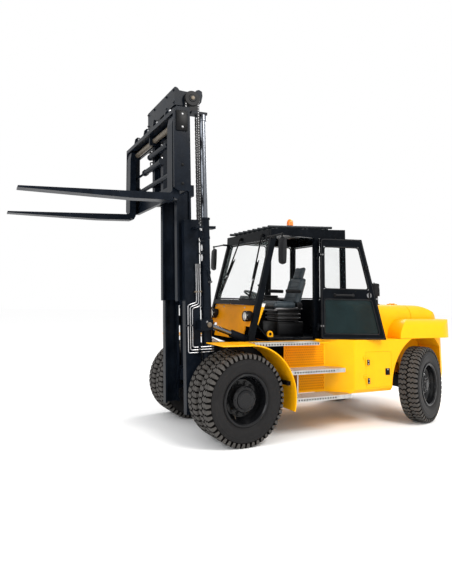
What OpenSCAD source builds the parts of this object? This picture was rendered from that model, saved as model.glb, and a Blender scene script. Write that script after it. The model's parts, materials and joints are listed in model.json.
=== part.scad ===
// Heavy counterbalance forklift truck: twin drive wheels, steered rear wheels,
// two-stage mast shown raised, wide fork carriage, enclosed cab with an open door.
// X points forward along the forks, Y to the driver's left, Z up. The ground is Z = 0.

/* [Wheels] */
// Wheelbase, drive axle to steer axle
wheelbase = 3190; // [2900:10:3500]
// Tyre diameter over the lugs
tyre_d = 1125; // [1050:5:1180]
// Tyre section width
tyre_w = 315; // [280:5:335]
// Height of the tyre's side wall
sidewall = 242.5; // [230:2.5:260]
// Half track of the outer drive tyres
front_y = 1040; // [1020:5:1080]
// Spacing of the twin tyres
twin_pitch = 355; // [345:5:370]
// Half track of the steered wheels
rear_y = 1000; // [960:5:1040]
// Half distance between the king pins
kingpin_y = 830; // [800:5:840]
// Steering angle shown
steer_deg = 22; // [0:1:30]

/* [Mast] */
// Forward lean of the mast
lean_deg = 4.1; // [0:0.1:6]
// Tilt pivot ahead of the drive axle
pivot_x = 300; // [280:5:330]
// Height of the tilt pivot
pivot_z = 450; // [430:5:480]
// Height of the outer rails above the pivot
outer_top = 2480; // [2300:10:2600]
// Depth of the rail sections
rail_depth = 220; // [200:5:230]
// Outside half width of the outer rails
outer_y = 485; // [480:1:495]
// Width of each rail section
rail_w = 110; // [100:2:116]
// Lift of the inner mast shown
lift = 1480; // [1300:10:1480]
// Radius of a lift cylinder
lift_r = 72; // [60:1:74]
// Radius of a lift rod
lift_rod_r = 50; // [40:1:56]

/* [Carriage and forks] */
// Half width of the carriage
carriage_y = 1205; // [1100:5:1210]
// Depth of the carriage
carriage_depth = 228; // [200:2:260]
// Height of the carriage
carriage_h = 1110; // [1000:10:1200]
// Length of a fork blade ahead of its shank
fork_len = 1815; // [1500:10:2200]
// Width of a fork
fork_w = 200; // [160:5:220]
// Thickness of a fork at the heel
fork_t = 95; // [80:1:105]
// Half distance between the forks
fork_y = 1040; // [700:5:1045]

/* [Body] */
// Rear overhang behind the steer axle
rear_over = 910; // [860:10:1000]
// Half width of the counterweight
cw_y = 1090; // [1060:5:1120]
// Height of the seam between body and hood
seam_z = 1262; // [1245:1:1280]
// Height of the hood
hood_z = 1770; // [1700:5:1800]
// Half width of the hood
hood_y = 800; // [760:5:830]
// Half width of the body sides
side_y = 1100; // [1080:5:1120]
// Underside of the body sides
side_z0 = 512; // [480:2:540]
// Height of the cab floor
floor_z = 1240; // [1235:1:1255]

/* [Cab] */
// Half width of the cab
cab_y = 764; // [740:2:770]
// Thickness of the cab's side frames
post_t = 60; // [50:1:70]
// Back of the cab behind the drive axle
cab_back = 1960; // [1940:5:1975]
// Height of the roof's front edge
roof_front_z = 2850; // [2835:5:2870]
// Height of the roof's rear edge
roof_rear_z = 2945; // [2920:5:2960]
// Opening angle of the door
door_deg = 160; // [0:1:165]
// Thickness of the door
door_t = 42; // [36:1:46]

/* [Hidden] */

$fn = 48;
yellow = "#fbbc04";
black = "#17191c";
grey = "#5d6166";
glass = "#bcd0cc";
// Running clearances
gap = 0.3;
slide_gap = 10;
axle_z = tyre_d / 2;
rim_d = tyre_d - 2 * sidewall;
rear_x = -wheelbase;
back_x = rear_x - rear_over;
// Mast sections, forward u and upward w from the tilt pivot
rail_u0 = 20;
rail_u1 = rail_u0 + rail_depth;
rail_t = 30;
outer_w0 = -140;
inner_u0 = rail_u0 + 65;
inner_u1 = inner_u0 + rail_depth + 5;
inner_y1 = outer_y - rail_w - slide_gap;
inner_y0 = inner_y1 - 95;
inner_w0 = outer_w0 + lift;
inner_top = inner_w0 + 2860;
lift_u = -92;
lift_y = outer_y - lift_r + 22;
lift_w0 = 360;
carr_u0 = inner_u1 + 105;
carr_u1 = carr_u0 + carriage_depth;
carr_w0 = inner_w0 + 1420;
carr_w1 = carr_w0 + carriage_h;
fork_u = carr_u1;
fork_w1 = carr_w0 - 25;
fork_tip_u = fork_u + fork_len;
tip_x = pivot_x + fork_tip_u * cos(lean_deg) + fork_w1 * sin(lean_deg);
// The origin lies under the middle of the whole length
shift_x = -(tip_x + back_x) / 2;
sheave_r = 85;
head_y = 650;
head_u = 175;
sheave_w = inner_top + 80;
chain_y = 200;
chain_h = 36;
shaft_u = carr_u0 + 105;
// Tilt cylinders
tilt_u = -45;
tilt_w = 1010;
tilt_y = 570;
tilt_r = 55;
tilt_ear = 22;
tilt_pin = 24;
eye_play = 7;
tilt_rod_r = 34;
tilt_ax = -800;
tilt_az = 1085;
tilt_px = pivot_x + tilt_u * cos(lean_deg) + tilt_w * sin(lean_deg);
tilt_pz = pivot_z - tilt_u * sin(lean_deg) + tilt_w * cos(lean_deg);
tilt_len = sqrt(pow(tilt_px - tilt_ax, 2) + pow(tilt_pz - tilt_az, 2));
tilt_deg = atan2(tilt_pz - tilt_az, tilt_px - tilt_ax);
pin_r = 40;
lug_r = 95;
// Frame plates
plate_y0 = 280;
plate_y1 = 340;
axle_r = 150;
engine_z0 = 820;
axle_block = 200;
spindle_r = 70;
// Cab side outline
a_foot = -222;
a_top = -566;
post_w = 90;
b_x = -1350;
roof_t = 90;
guard_pitch = 165;
hinge_x = b_x - 25;
hinge_y = cab_y + 8 + door_t;
door_z0 = floor_z + 12;
door_z1 = roof_front_z - roof_t + 10;
sill = 8;

module both() { children(); mirror([0, 1, 0]) children(); }
module place() { translate([shift_x, 0, 0]) children(); }
module mast() { place() translate([pivot_x, 0, pivot_z]) rotate([0, lean_deg, 0]) children(); }
// A plate drawn in X and Z, from y0 to y1
module side(y0, y1) { translate([0, y1, 0]) rotate([90, 0, 0]) linear_extrude(y1 - y0) children(); }
module box(x0, x1, y0, y1, z0, z1) { translate([x0, y0, z0]) cube([x1 - x0, y1 - y0, z1 - z0]); }
// A round bar along Y
module bar(x, y0, y1, z, r) { translate([x, y0, z]) rotate([-90, 0, 0]) cylinder(r = r, h = y1 - y0); }

function a_x(z) = a_foot + (a_top - a_foot) * (z - floor_z) / (2720 - floor_z);
function roof_z(x) = roof_front_z + (roof_rear_z - roof_front_z) * (a_top - x) / (a_top + cab_back);

// Staggered lugs on both shoulders of a faceted carcass
lugs = 28;
lug_h = 34;
lug_t = 92;
bore_flats = 20;
module tyre_solid() {
  r = tyre_d / 2; h = tyre_w / 2; b = rim_d / 2;
  rotate([-90, 0, 0]) difference() {
    union() {
      rotate([0, 0, 180 / lugs]) hull() {
        translate([0, 0, -h + 38]) cylinder(r = r - lug_h, h = tyre_w - 76, $fn = lugs);
        translate([0, 0, -h]) cylinder(r = r - 130, h = tyre_w, $fn = lugs);
      }
      for (i = [0:lugs - 1]) rotate([0, 0, i * 360 / lugs]) mirror([0, 0, i % 2])
        translate([0, lug_t / 2, 0]) rotate([90, 0, 0]) linear_extrude(lug_t)
          polygon([[r - lug_h - 14, -20], [r, -20], [r, h - 38], [r - 88, h - 9]]);
    }
    // Bore with flats that meet the rim
    hull() translate([0, 0, -h - 1]) cylinder(r = b / cos(180 / bore_flats), h = tyre_w + 2, $fn = bore_flats);
  }
}

module rim_solid(hub_y0, hub_y1, disc) {
  b = rim_d / 2; h = tyre_w / 2;
  rotate([-90, 0, 0]) rotate_extrude($fn = 64)
    polygon([[b - 26, -h + 10], [b - gap, -h + 18], [b - gap, h - 18], [b - 26, h - 10], [b - 38, h - 24],
      [b - 46, h - 62], [b - 62, disc + 44], [b - 92, disc + 12], [spindle_r + gap, disc + 10],
      [spindle_r + gap, disc - 10], [b - 92, disc - 12], [b - 62, disc - 44], [b - 46, -h + 62],
          [b - 38, -h + 24]]);
  rotate([-90, 0, 0]) rotate_extrude($fn = 48)
    polygon([[spindle_r + gap, hub_y0], [150, hub_y0], [150, hub_y1 - 20], [140, hub_y1],
        [spindle_r + gap, hub_y1]]);
}

// Domed cap with a stepped rim
module hub_cap(r, y) {
  translate([0, y - 1, 0]) rotate([-90, 0, 0]) rotate_extrude($fn = 48)
    polygon([[0, 0], [r, 0], [r, 22], [r - 14, 34], [r - 44, 36], [r - 52, 48], [r - 80, 54], [0, 54]]);
}

module wheel_at(y) { place() translate([0, y, axle_z]) children(); }

module front_left_tyres() { color(black) { wheel_at(front_y) tyre_solid();
  wheel_at(front_y - twin_pitch) tyre_solid(); } }
module front_left_rims() { color(black) front_rims(); }
module front_rims() {
  wheel_at(front_y) { rim_solid(-twin_pitch - 120, 60, -40);
    hub_cap(163, 60); }
  wheel_at(front_y - twin_pitch) rim_solid(-100, 100, 40);
}
module front_right_tyres() { color(black) mirror([0, 1, 0]) front_left_tyres(); }
module front_right_rims() { color(black) mirror([0, 1, 0]) front_rims(); }

module steered(s) { place() translate([rear_x, s * kingpin_y, axle_z])
  rotate([0, 0, steer_deg]) children(); }
module rear_rim_solid() {
  rim_solid(-90, 60, 0);
  hub_cap(120, 60);
}
module rear_left_tyre() { color(black) steered(1) translate([0, rear_y - kingpin_y, 0]) tyre_solid(); }
module rear_right_tyre() { color(black) steered(-1) translate([0, kingpin_y - rear_y, 0]) tyre_solid(); }
module rear_left_rim() { color(black) steered(1) translate([0, rear_y - kingpin_y, 0]) rear_rim_solid(); }
module rear_right_rim() { color(black) steered(-1) translate([0, kingpin_y - rear_y, 0])
  mirror([0, 1, 0]) rear_rim_solid(); }

kingpin_r = 42;
knuckle_h = 110;
module knuckle() {
  // King pin, its barrel and the stub axle
  translate([0, 0, -knuckle_h - 60]) cylinder(r = kingpin_r, h = 2 * knuckle_h + 120);
  translate([0, 0, -knuckle_h]) cylinder(r = 72, h = 2 * knuckle_h);
  bar(0, 0, rear_y - kingpin_y - 92, 0, 78);
  bar(0, 0, rear_y - kingpin_y + 50, 0, spindle_r);
}
module left_knuckle() { color(grey) steered(1) knuckle(); }
module right_knuckle() { color(grey) steered(-1) mirror([0, 1, 0]) knuckle(); }

module steer_axle() { color(black) place() translate([rear_x, 0, axle_z]) difference() {
  union() {
    box(-105, 105, -690, 690, -95, 95);
    both() for (s = [-1, 1]) translate([0, 0, s * (knuckle_h + gap + 28)]) {
      translate([0, kingpin_y, -28]) cylinder(r = 70, h = 56);
      box(-70, 70, 620, kingpin_y, -28, 28);
    }
    both() box(-70, 70, 620, 690, -knuckle_h - 56, knuckle_h + 56);
    // Pivot block under the frame
    box(-160, 160, -120, 120, 60, axle_block);
    bar(130, -330, 330, 130, 55);
  }
  both() translate([0, kingpin_y, -400]) cylinder(r = kingpin_r + gap, h = 800);
} }

module drive_axle() { color(black) place() {
  bar(0, -500, 500, axle_z, axle_r);
  both() bar(0, 490, front_y + 55, axle_z, spindle_r);
  translate([0, 0, axle_z]) sphere(r = 200);
} }

module frame() { color(black) place() {
  both() difference() {
    side(plate_y0, plate_y1) polygon([[pivot_x + 50, 370], [pivot_x + 50, 500], [pivot_x - 100, 530],
        [150, 640], [30, 800],
      [-130, 1150], [-2000, 1150], [rear_x + 740, 1000], [rear_x - 570, 1000], [rear_x - 570, 780],
      [rear_x + 630, 780], [rear_x + 790, 480], [-200, 400], [190, 370]]);
    bar(0, plate_y0 - 1, plate_y1 + 1, axle_z, axle_r + gap);
  }
  // Pins that carry the mast
  both() bar(pivot_x, plate_y0, outer_y - 12, pivot_z, pin_r);
  // Cross members
  box(-330, -250, -plate_y0, plate_y0, 450, 1150);
  box(-1900, -1820, -plate_y0, plate_y0, 450, 1150);
  box(rear_x + 710, rear_x + 790, -plate_y0, plate_y0, 480, engine_z0 - gap);
  // Cradle over the steer axle
  box(rear_x - 150, rear_x + 150, -plate_y1, plate_y1, axle_z + axle_block + gap, 800);
  // Fender brackets
  both() box(-708.7, -660, plate_y1 - 1, 1100, 690, 740);
  // Tilt cylinder lugs
  both() for (y = [tilt_y - tilt_r - 4 - tilt_ear, tilt_y + tilt_r + 4]) difference() {
    side(y, y + tilt_ear) polygon([[tilt_ax - 90, floor_z - 30], [tilt_ax + 60, floor_z - 30],
      [tilt_ax + 55, tilt_az - 50], [tilt_ax - 60, tilt_az - 60]]);
    bar(tilt_ax, y - 1, y + tilt_ear + 1, tilt_az, 32 + gap);
  }
  // Deck beams across the frame
  both() box(tilt_ax - 90, tilt_ax + 60, plate_y1 - 1, tilt_y + tilt_r + 4 + tilt_ear, floor_z - 31,
      floor_z - 8);
  both() box(tilt_ax - 90, tilt_ax + 60, plate_y0, plate_y1, 1150, floor_z - 8);
} }

// A long form with both upper edges rounded, from x0 to x1
module loaf(x0, x1, w, z0, t, r) {
  box(x0, x1, -w + r, w - r, z0, t);
  box(x0, x1, -w, w, z0, t - r);
  both() translate([x0, w - r, t - r]) rotate([0, 90, 0]) cylinder(r = r, h = x1 - x0);
}
// Plan with rounded rear corners
module rear_plan(x0, x1, w, r) {
  translate([0, 0, 300]) {
    translate([x0 + r, -w, 0]) cube([x1 - x0 - r, 2 * w, 1700]);
    translate([x0, -w + r, 0]) cube([x1 - x0, 2 * w - 2 * r, 1700]);
    both() translate([x0 + r, w - r, 0]) cylinder(r = r, h = 1700, $fn = 72);
  }
}
module counterweight() { color(yellow) place() {
  difference() {
    union() {
      // Crown that carries on the line of the hood, falling away at the rear
      intersection() {
        loaf(back_x, cw_x, hood_y, seam_z, hood_z, hood_r);
        union() {
          bar(back_x + tail_r, -1100, 1100, hood_z - tail_r, tail_r);
          box(back_x + tail_r, cw_x, -1100, 1100, seam_z, 2000);
        }
        rear_plan(back_x, cw_x, hood_y, 380);
      }
      // Shoulders over the steered wheels, with an arched front end
      intersection() {
        loaf(back_x, flare_x, cw_y, seam_z, flare_z, 140);
        union() {
          bar(flare_x - flare_z + seam_z, -1200, 1200, seam_z, flare_z - seam_z);
          box(back_x, flare_x - flare_z + seam_z, -1200, 1200, seam_z, 2000);
        }
        union() {
          bar(back_x + 110, -1200, 1200, flare_z - 110, 110);
          box(back_x + 110, flare_x, -1200, 1200, seam_z, 2000);
          box(back_x, flare_x, -1200, 1200, seam_z, flare_z - 110);
        }
        rear_plan(back_x, flare_x, cw_y, 420);
      }
      // Lower block behind the wheels, tucked in towards the ground
      intersection() {
        side(-low_y, low_y) polygon([[cw_x, seam_z + 1], [back_x + 40, seam_z + 1], [back_x + 50, 1120],
          [back_x + 160, 700], [back_x + 240, 560], [back_x + 320, 470], [cw_x, 470]]);
        rear_plan(back_x + 40, cw_x, low_y, 260);
      }
    }
    // Engine space between the shoulders
    box(cw_x, flare_x + 50, -hood_y - 8, hood_y + 8, 300, 2000);
    // Wheel wells
    both() side(385, 1300) polygon([[back_x + 225, 300], [back_x + 225, 1100], [back_x + 350, 1250],
      [rear_x + 690, 1250], [rear_x + 690, 300]]);
    // Room for the frame and the steer axle
    both() box(rear_x - 580, rear_x - 10, plate_y0 - 10, plate_y1 + 10, 300, 1000 + gap);
    box(rear_x - 190, rear_x - 10, -400, 400, 300, 810);
    box(rear_x - 120, rear_x + 300, -1300, 1300, 300, 780);
    // Pockets of the tail lamps
    both() box(back_x - 50, back_x + 38 + gap, 480 - gap, 620 + gap, 1310 - gap, 1410 + gap);
    // Grille recess and towing slot
    box(back_x - 100, back_x + 200, -360, 360, 840, 1160);
    box(back_x - 50, back_x + 420, -75, 75, 600, 690);
  }
  // Towing pin
  translate([back_x + 290, 0, 590]) cylinder(r = 24, h = 110);
  // Fixed knuckles of the hood hinge
  both() { bar(hood_px, 362, 422, hood_pz, 13);
    box(cw_x - 60, hood_px, 362, 422, hood_z - 10, hood_pz); }
} }

module radiator_grille() { color(black) place() {
  difference() { box(back_x + 165, back_x + 195, -360 + gap, 360 - gap, 840 + gap, 1160 - gap);
    for (i = [0:6]) box(back_x + 150, back_x + 210, -330, 330, 862 + i * 40, 862 + i * 40 + 24); }
} }

module engine_block() { color(grey) place() {
  box(engine_x0, engine_x1, -plate_y0 + 8, plate_y0 - 8, engine_z0, 1160);
  // Cylinder head, rocker covers, intake pipe and fan ring
  box(engine_x0 + 130, engine_x1 - 50, -170, 150, 1150, 1350);
  for (i = [0.5:1:3.5]) translate([engine_x0 + 140 + i * (engine_x1 - engine_x0 - 200) / 4, -10, 1340])
    cylinder(r = 78, h = 84);
  translate([engine_x0 + 150, 190, 1270]) rotate([0, 90, 0]) cylinder(r = 52, h = engine_x1 - engine_x0 - 240);
  translate([engine_x0 + 10, 0, 1250]) rotate([0, 90, 0]) cylinder(r = 225, h = 60);
  box(engine_x0 + 10, engine_x0 + 150, -60, 60, 1150, 1300);
} }

// Counterweight and hood outlines
cw_x = rear_x - 110;
flare_x = rear_x + 430;
flare_z = 1552;
low_y = 860;
hood_r = 190;
tail_r = 600;
hood_x0 = cw_x + 8;
hood_x1 = -cab_back - 150;
engine_x0 = cw_x + 250;
engine_x1 = hood_x1 - 60;
hood_px = cw_x + 4;
hood_pz = hood_z + 14;
module engine_hood() { color(yellow) place() {
  difference() {
    loaf(hood_x0, hood_x1, hood_y, seam_z - 4 + gap, hood_z, hood_r);
    loaf(hood_x0 - 1, hood_x1 - 24, hood_y - 25, seam_z - 50, hood_z - 25, hood_r - 25);
  }
  // Hinge knuckles
  both() { bar(hood_px, 300, 361, hood_pz, 13);
    box(hood_px, hood_x0 + 60, 300, 361, hood_z - 10, hood_pz); }
} }

module box_plan(y1, k = 0) {
  polygon([[rear_x + 50, plate_y1 + gap], [-1350 + k, plate_y1 + gap], [-1350 + k, 812 + k],
    [-1480 + k, 830 + k], [-1815 + k, y1 - 6 + k], [-1835, y1 + k], [rear_x + 50, y1 + k]]);
}
module side_box() { difference() {
  translate([0, 0, side_z0]) linear_extrude(seam_z - 4 - side_z0) box_plan(side_y);
  // Wheel arch
  bar(rear_x - 150, 300, 1300, axle_z - 22.5, axle_z + 237.5, $fn = 144);
  // Bevel along the lower edge
  translate([rear_x - 10, 0, 0]) rotate([90, 0, 90]) linear_extrude(wheelbase - 1290)
    polygon([[side_y + 1, side_z0 - 1], [side_y + 1, side_z0 + 52], [side_y - 46, side_z0 - 1]]);
  // Seat of the cab
  box(-cab_back - 8, -1300, 300, cab_y + 8, floor_z - gap, 1400);
} }
door_x0 = rear_x + 650; door_x1 = -2030; door_zz0 = 575; door_zz1 = 1085;
module left_side_box() { color(yellow) place() difference() {
  side_box();
  box(door_x0, door_x1, side_y - 30, side_y + 5, door_zz0, door_zz1);
}
  // Fixed hinge knuckles
  color(yellow) place() for (z = [716, 976]) {
      translate([door_x1 - 4, side_y + 12, z + gap]) cylinder(r = 11, h = 40);
    box(door_x1 + 1, door_x1 + 45, side_y - 1, side_y + 12, z + gap, z + 40);
    box(door_x1 - 4, door_x1 + 2, side_y + 1, side_y + 12, z + gap, z + 40); }
}
module right_side_box() { color(yellow) place() mirror([0, 1, 0]) side_box(); }
module service_door() { color(yellow) place() {
  box(door_x0 + 6, door_x1 - 6, side_y - 26, side_y - 1, door_zz0 + 6, door_zz1 - 6);
  for (z = [636, 896]) translate([door_x1 - 4, side_y + 12, z]) cylinder(r = 11, h = 80);
  for (z = [636, 896]) box(door_x1 - 60, door_x1 - 8, side_y - 2, side_y + 16, z + 5, z + 75);
} }

fender_cx = -60; fender_cz = 540; fender_r = 690;
module fender() {
  side(660, 1190) difference() {
    polygon(concat([[370, floor_z - 10], [fender_cx, floor_z - 10]],
      [for (a = [0:6:104]) [fender_cx - fender_r * sin(a), fender_cz + fender_r * cos(a)]],
      [for (a = [104:-6:0]) [fender_cx - (fender_r - 10) * sin(a), fender_cz + (fender_r - 10) * cos(a)]],
      [[fender_cx, floor_z - 20], [370, floor_z - 20]]));
  }
}
module front_fenders() { color(yellow) place() both() {
  fender();
  // Deck beside the cab
  box(-1345, 100, 780, 1130, floor_z - 10, floor_z);
  // Panel behind the steps
  difference() { box(-1500, -765, 822, 830, 530, floor_z - 9);
    translate([0, 0, 300]) linear_extrude(1200) box_plan(side_y, gap); }
} }

module steps() { color(grey) place() both() difference() {
  union() {
    // Treads with folded front lips
    box(-1640, -702, 831, 1110, 848, 875);
    box(-1640, -702, 1098, 1110, 820, 875);
    box(-1720, -765, 831, 1140, 498, 525);
    box(-1720, -765, 1128, 1140, 470, 525);
    box(-900, -880, 831, 1000, 525 - 1, 849);
  }
  translate([0, 0, 300]) linear_extrude(1200) box_plan(side_y, gap);
} }

module cowl() { color(yellow) place() {
  difference() {
    side(-cab_y + post_t + gap, cab_y - post_t - gap) polygon([[-262, floor_z + 2], [-372, 1728],
        [-392, 1728], [-282, floor_z + 2]]);
    both() box(-400, -200, tilt_y - tilt_r - 25, tilt_y + tilt_r + 25, floor_z, floor_z + 190);
  }
} }

module cab_side() {
  polygon([[a_foot, floor_z], [a_x(2720), 2720], [a_top, roof_front_z], [-cab_back, roof_rear_z],
      [-cab_back, floor_z]]);
}
module door_hole(k) {
  polygon([[a_x(door_z0) - post_w + k, door_z0 - k], [a_x(door_z1) - post_w + k, door_z1 + k],
    [b_x - k, door_z1 + k], [b_x - k, door_z0 - k]]);
}
module cab_frame() { color(black) place() {
  both() difference() {
    side(cab_y - post_t, cab_y) difference() {
      cab_side();
      door_hole(0);
      polygon([[b_x - 85, 1830], [b_x - 85, door_z1], [-cab_back + 80, door_z1], [-cab_back + 80, 1830]]);
    }
  }
  // Floor, toe board, cross beams
  box(-cab_back, -600, -cab_y + post_t, cab_y - post_t, floor_z, floor_z + 24);
  side(-cab_y + post_t, cab_y - post_t) polygon([[-600, floor_z], [-600, floor_z + 24], [-358, 1500],
      [-358, 1470]]);
  side(-cab_y + post_t, cab_y - post_t) polygon([[a_x(1730) - 2, 1730], [a_x(1800) - 2, 1800],
    [a_x(1800) - 70, 1800], [a_x(1730) - 70, 1730]]);
  side(-cab_y + post_t, cab_y - post_t) polygon([[a_x(2700), 2700], [a_top, roof_front_z],
    [a_top - 80, roof_front_z + 4], [a_top - 80, 2700]]);
  side(-cab_y + post_t, cab_y - post_t) polygon([[-cab_back, 2760], [-cab_back, roof_rear_z],
    [-cab_back + 80, roof_rear_z - 5], [-cab_back + 80, 2760]]);
  box(-cab_back, -cab_back + 60, -cab_y + post_t, cab_y - post_t, floor_z + 24, 1830);
  // Hinge brackets for the door
  for (z = [1420, 2480]) { translate([hinge_x, hinge_y, z - 40]) cylinder(r = 12, h = 39.7);
    box(hinge_x - 12, hinge_x + 12, cab_y, hinge_y, z - 40, z - gap); }
} }
module cab_roof() { color(black) place() {
  side(-cab_y + post_t, cab_y - post_t) polygon([[a_top - 90, roof_z(a_top - 90)], [-cab_back + 90,
      roof_z(-cab_back + 90)],
    [-cab_back + 90, roof_z(-cab_back + 90) - 30], [a_top - 90, roof_z(a_top - 90) - 30]]);
  // Guard of lengthwise bars on cross rails
  for (x = [a_top - 140, (a_top - cab_back) / 2, -cab_back + 300]) bar(x, -685, 685, roof_z(x) + 14, 18);
  roof_rise = atan((roof_rear_z - roof_front_z) / (cab_back + a_top));
  for (i = [-4:4]) translate([a_top - 4, i * guard_pitch, roof_front_z + 44]) rotate([0,
      roof_rise - 90, 0])
    cylinder(r = 21, h = cab_back + a_top - 200);
} }
module cab_glass() { color(glass) place() {
  // Windscreen, right side and rear
  side(-cab_y + post_t + gap, cab_y - post_t - gap) polygon([[a_x(1800.3) - 30, 1800.3],
      [a_x(2699.7) - 30, 2699.7],
    [a_x(2699.7) - 36, 2699.7], [a_x(1800.3) - 36, 1800.3]]);
  side(-cab_y + 26, -cab_y + 32) door_hole(-gap);
  both() side(cab_y - 32, cab_y - 26) polygon([[b_x - 85 - gap, 1830 + gap], [b_x - 85 - gap,
      door_z1 - gap],
    [-cab_back + 80 + gap, door_z1 - gap], [-cab_back + 80 + gap, 1830 + gap]]);
  box(-cab_back + 27, -cab_back + 33, -cab_y + post_t + gap, cab_y - post_t - gap, 1830 + gap,
      2760 - gap);
} }

module seat() { color(grey) place() {
  box(-1500, -1010, -240, 240, floor_z + 24, 1485);
  box(-1480, -1030, -200, 200, 1480, 1700);
  side(-260, 260) polygon([[-940, 1690], [-920, 1750], [-960, 1795], [-1385, 1790], [-1400, 1690]]);
  side(-240, 240) polygon([[-1360, 1720], [-1455, 1720], [-1600, 2130], [-1600, 2210], [-1540, 2210],
      [-1490, 2130]]);
  side(-140, 140) polygon([[-1590, 2190], [-1662, 2375], [-1595, 2388], [-1538, 2190]]);
} }

module steering_column() { color(black) place() {
  translate([-480, 0, floor_z + 40]) rotate([0, -22, 0]) {
      translate([0, 0, 101.2]) cylinder(r = 55, h = 538.8);
    translate([0, 0, 640]) rotate_extrude() translate([170, 0]) circle(r = 16, $fn = 24);
    for (a = [0, 120, 240]) rotate([0, 0, a]) translate([40, -12, 632]) cube([122, 24, 16]); }
} }

module lamps() { color("#e8e6df") place() {
  both() { difference() { translate([-400, 590, 1575]) rotate([0, 90, 0]) cylinder(r = 75, h = 170);
      side(400, 800) polygon([[-262 + gap, floor_z], [-372 + gap, 1728],
        [-900, 1728], [-900, floor_z]]); }
    box(back_x + 8, back_x + 38, 480, 620, 1310, 1410); }
  // Beacon between two bars of the roof guard
  translate([-1120, 2.5 * guard_pitch, roof_z(-1160) + gap]) { cylinder(r = 40, h = 92);
      translate([0, 0, 90]) cylinder(r = 54, h = 110); }
} }

// Mirrors on arms ahead of the doors' swing
mirror_x = -500;
mirror_y = 1180;
module mirrors() { color(black) place() both() {
  box(mirror_x - 24, mirror_x + 24, mirror_y - 92, mirror_y + 92, 2300, 2690);
  bar(mirror_x, cab_y + gap, mirror_y + 12, 2722, 12);
  translate([mirror_x, mirror_y, 2685]) cylinder(r = 12, h = 40);
  box(mirror_x - 125, mirror_x + 12, cab_y + gap, cab_y + 14, 2706, 2738);
} }
module air_cleaner() { color(black) place() translate([rear_x + 390, 470, hood_z + gap]) {
  cylinder(r = 60, h = 150);
  translate([0, 0, 140]) cylinder(r = 88, h = 200);
} }

module door_plan(k) {
  polygon([[a_x(door_z0) - post_w - sill + k, door_z0 + sill - k], [a_x(door_z1) - post_w - sill + k,
      door_z1 - sill + k],
    [b_x + sill - k, door_z1 - sill + k], [b_x + sill - k, door_z0 + sill - k]]);
}
module door_pose() { place() translate([hinge_x, hinge_y, 0]) rotate([0, 0, door_deg])
  translate([-hinge_x, -hinge_y, 0]) children(); }
module door_pane(z0, z1, k) {
  polygon([[a_x(z0) - post_w - 80 + k, z0 - k], [a_x(z1) - post_w - 80 + k, z1 + k],
    [b_x + 60 - k, z1 + k], [b_x + 60 - k, z0 - k]]);
}
module door_frame() { color(black) door_pose() {
  side(hinge_y - door_t, hinge_y) difference() {
    door_plan(0);
    door_pane(1330, 1850, 0);
    door_pane(1990, 2640, 0);
  }
  for (z = [1420, 2480]) { translate([hinge_x, hinge_y, z]) cylinder(r = 12, h = 60);
    box(hinge_x, b_x + 20, hinge_y - 10, hinge_y, z, z + 60); }
} }
module door_glass() { color(glass) door_pose() side(hinge_y - door_t / 2 - 3, hinge_y - door_t / 2 + 3) {
  door_pane(1330, 1850, -gap); door_pane(1990, 2640, -gap); } }

module rail(u0, u1, y0, y1, w0, w1, web) {
  // Channel open towards the truck's middle
  difference() {
    box(u0, u1, y0, y1, w0, w1);
    box(u0 + rail_t, u1 - rail_t, y0 - 1, y1 - web, w0 - 1, w1 + 1);
  }
}
module outer_mast() { color(black) mast() difference() {
  union() {
    both() rail(rail_u0, rail_u1, outer_y - rail_w, outer_y, outer_w0, outer_top, rail_t);
    // Cross members behind the rails
    box(-60, rail_u0, -outer_y, outer_y, 170, 330);
    box(-20, rail_u0, -outer_y, outer_y, 1250, 1400);
    both() box(-250, rail_u0, lift_y - 100, outer_y, outer_top - 130, outer_top - 90);
    box(-20, rail_u0, -outer_y, outer_y, outer_top - 260, outer_top - 60);
    // Pivot bearings
    both() difference() { bar(0, outer_y - rail_w, outer_y, 0, lug_r);
      box(rail_u0 + rail_t, 300, 0, 600, -200, 200); }
    // Foot plates of the lift cylinders
    both() box(-170, rail_u0 + 10, lift_y - 70, outer_y, lift_w0 - 40, lift_w0 - gap);
    // Tilt brackets
    both() for (y = [tilt_y - tilt_r - 4 - tilt_ear, tilt_y + tilt_r + 4])
      box(tilt_u - 55, rail_u0 + 60, y, y + tilt_ear, tilt_w - 70, tilt_w + 70);
    both() box(rail_u0 + 20, rail_u0 + 60, outer_y - 5, tilt_y + tilt_r + 4 + tilt_ear, tilt_w - 70,
        tilt_w + 70);
    both() bar(tilt_u, tilt_y - tilt_r - 10, tilt_y + tilt_r + 10, tilt_w, tilt_pin);
  }
  both() bar(0, 200, outer_y - 10, 0, pin_r + gap);
  both() translate([lift_u, lift_y, lift_w0 - gap]) cylinder(r = lift_r + gap, h = outer_top);
} }
module lift_barrels() { color(black) mast() both() difference() {
  translate([lift_u, lift_y, lift_w0]) cylinder(r = lift_r, h = outer_top + 20 - lift_w0);
  translate([lift_u, lift_y, lift_w0 + 60]) cylinder(r = lift_rod_r + gap, h = outer_top);
} }
module lift_rods() { color("silver") mast() both() {
  translate([lift_u, lift_y, outer_top - 300]) cylinder(r = lift_rod_r, h = lift + 300 + 40);
  translate([lift_u, lift_y, outer_top + lift + 40]) cylinder(r = 62, h = 90);
} }

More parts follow.
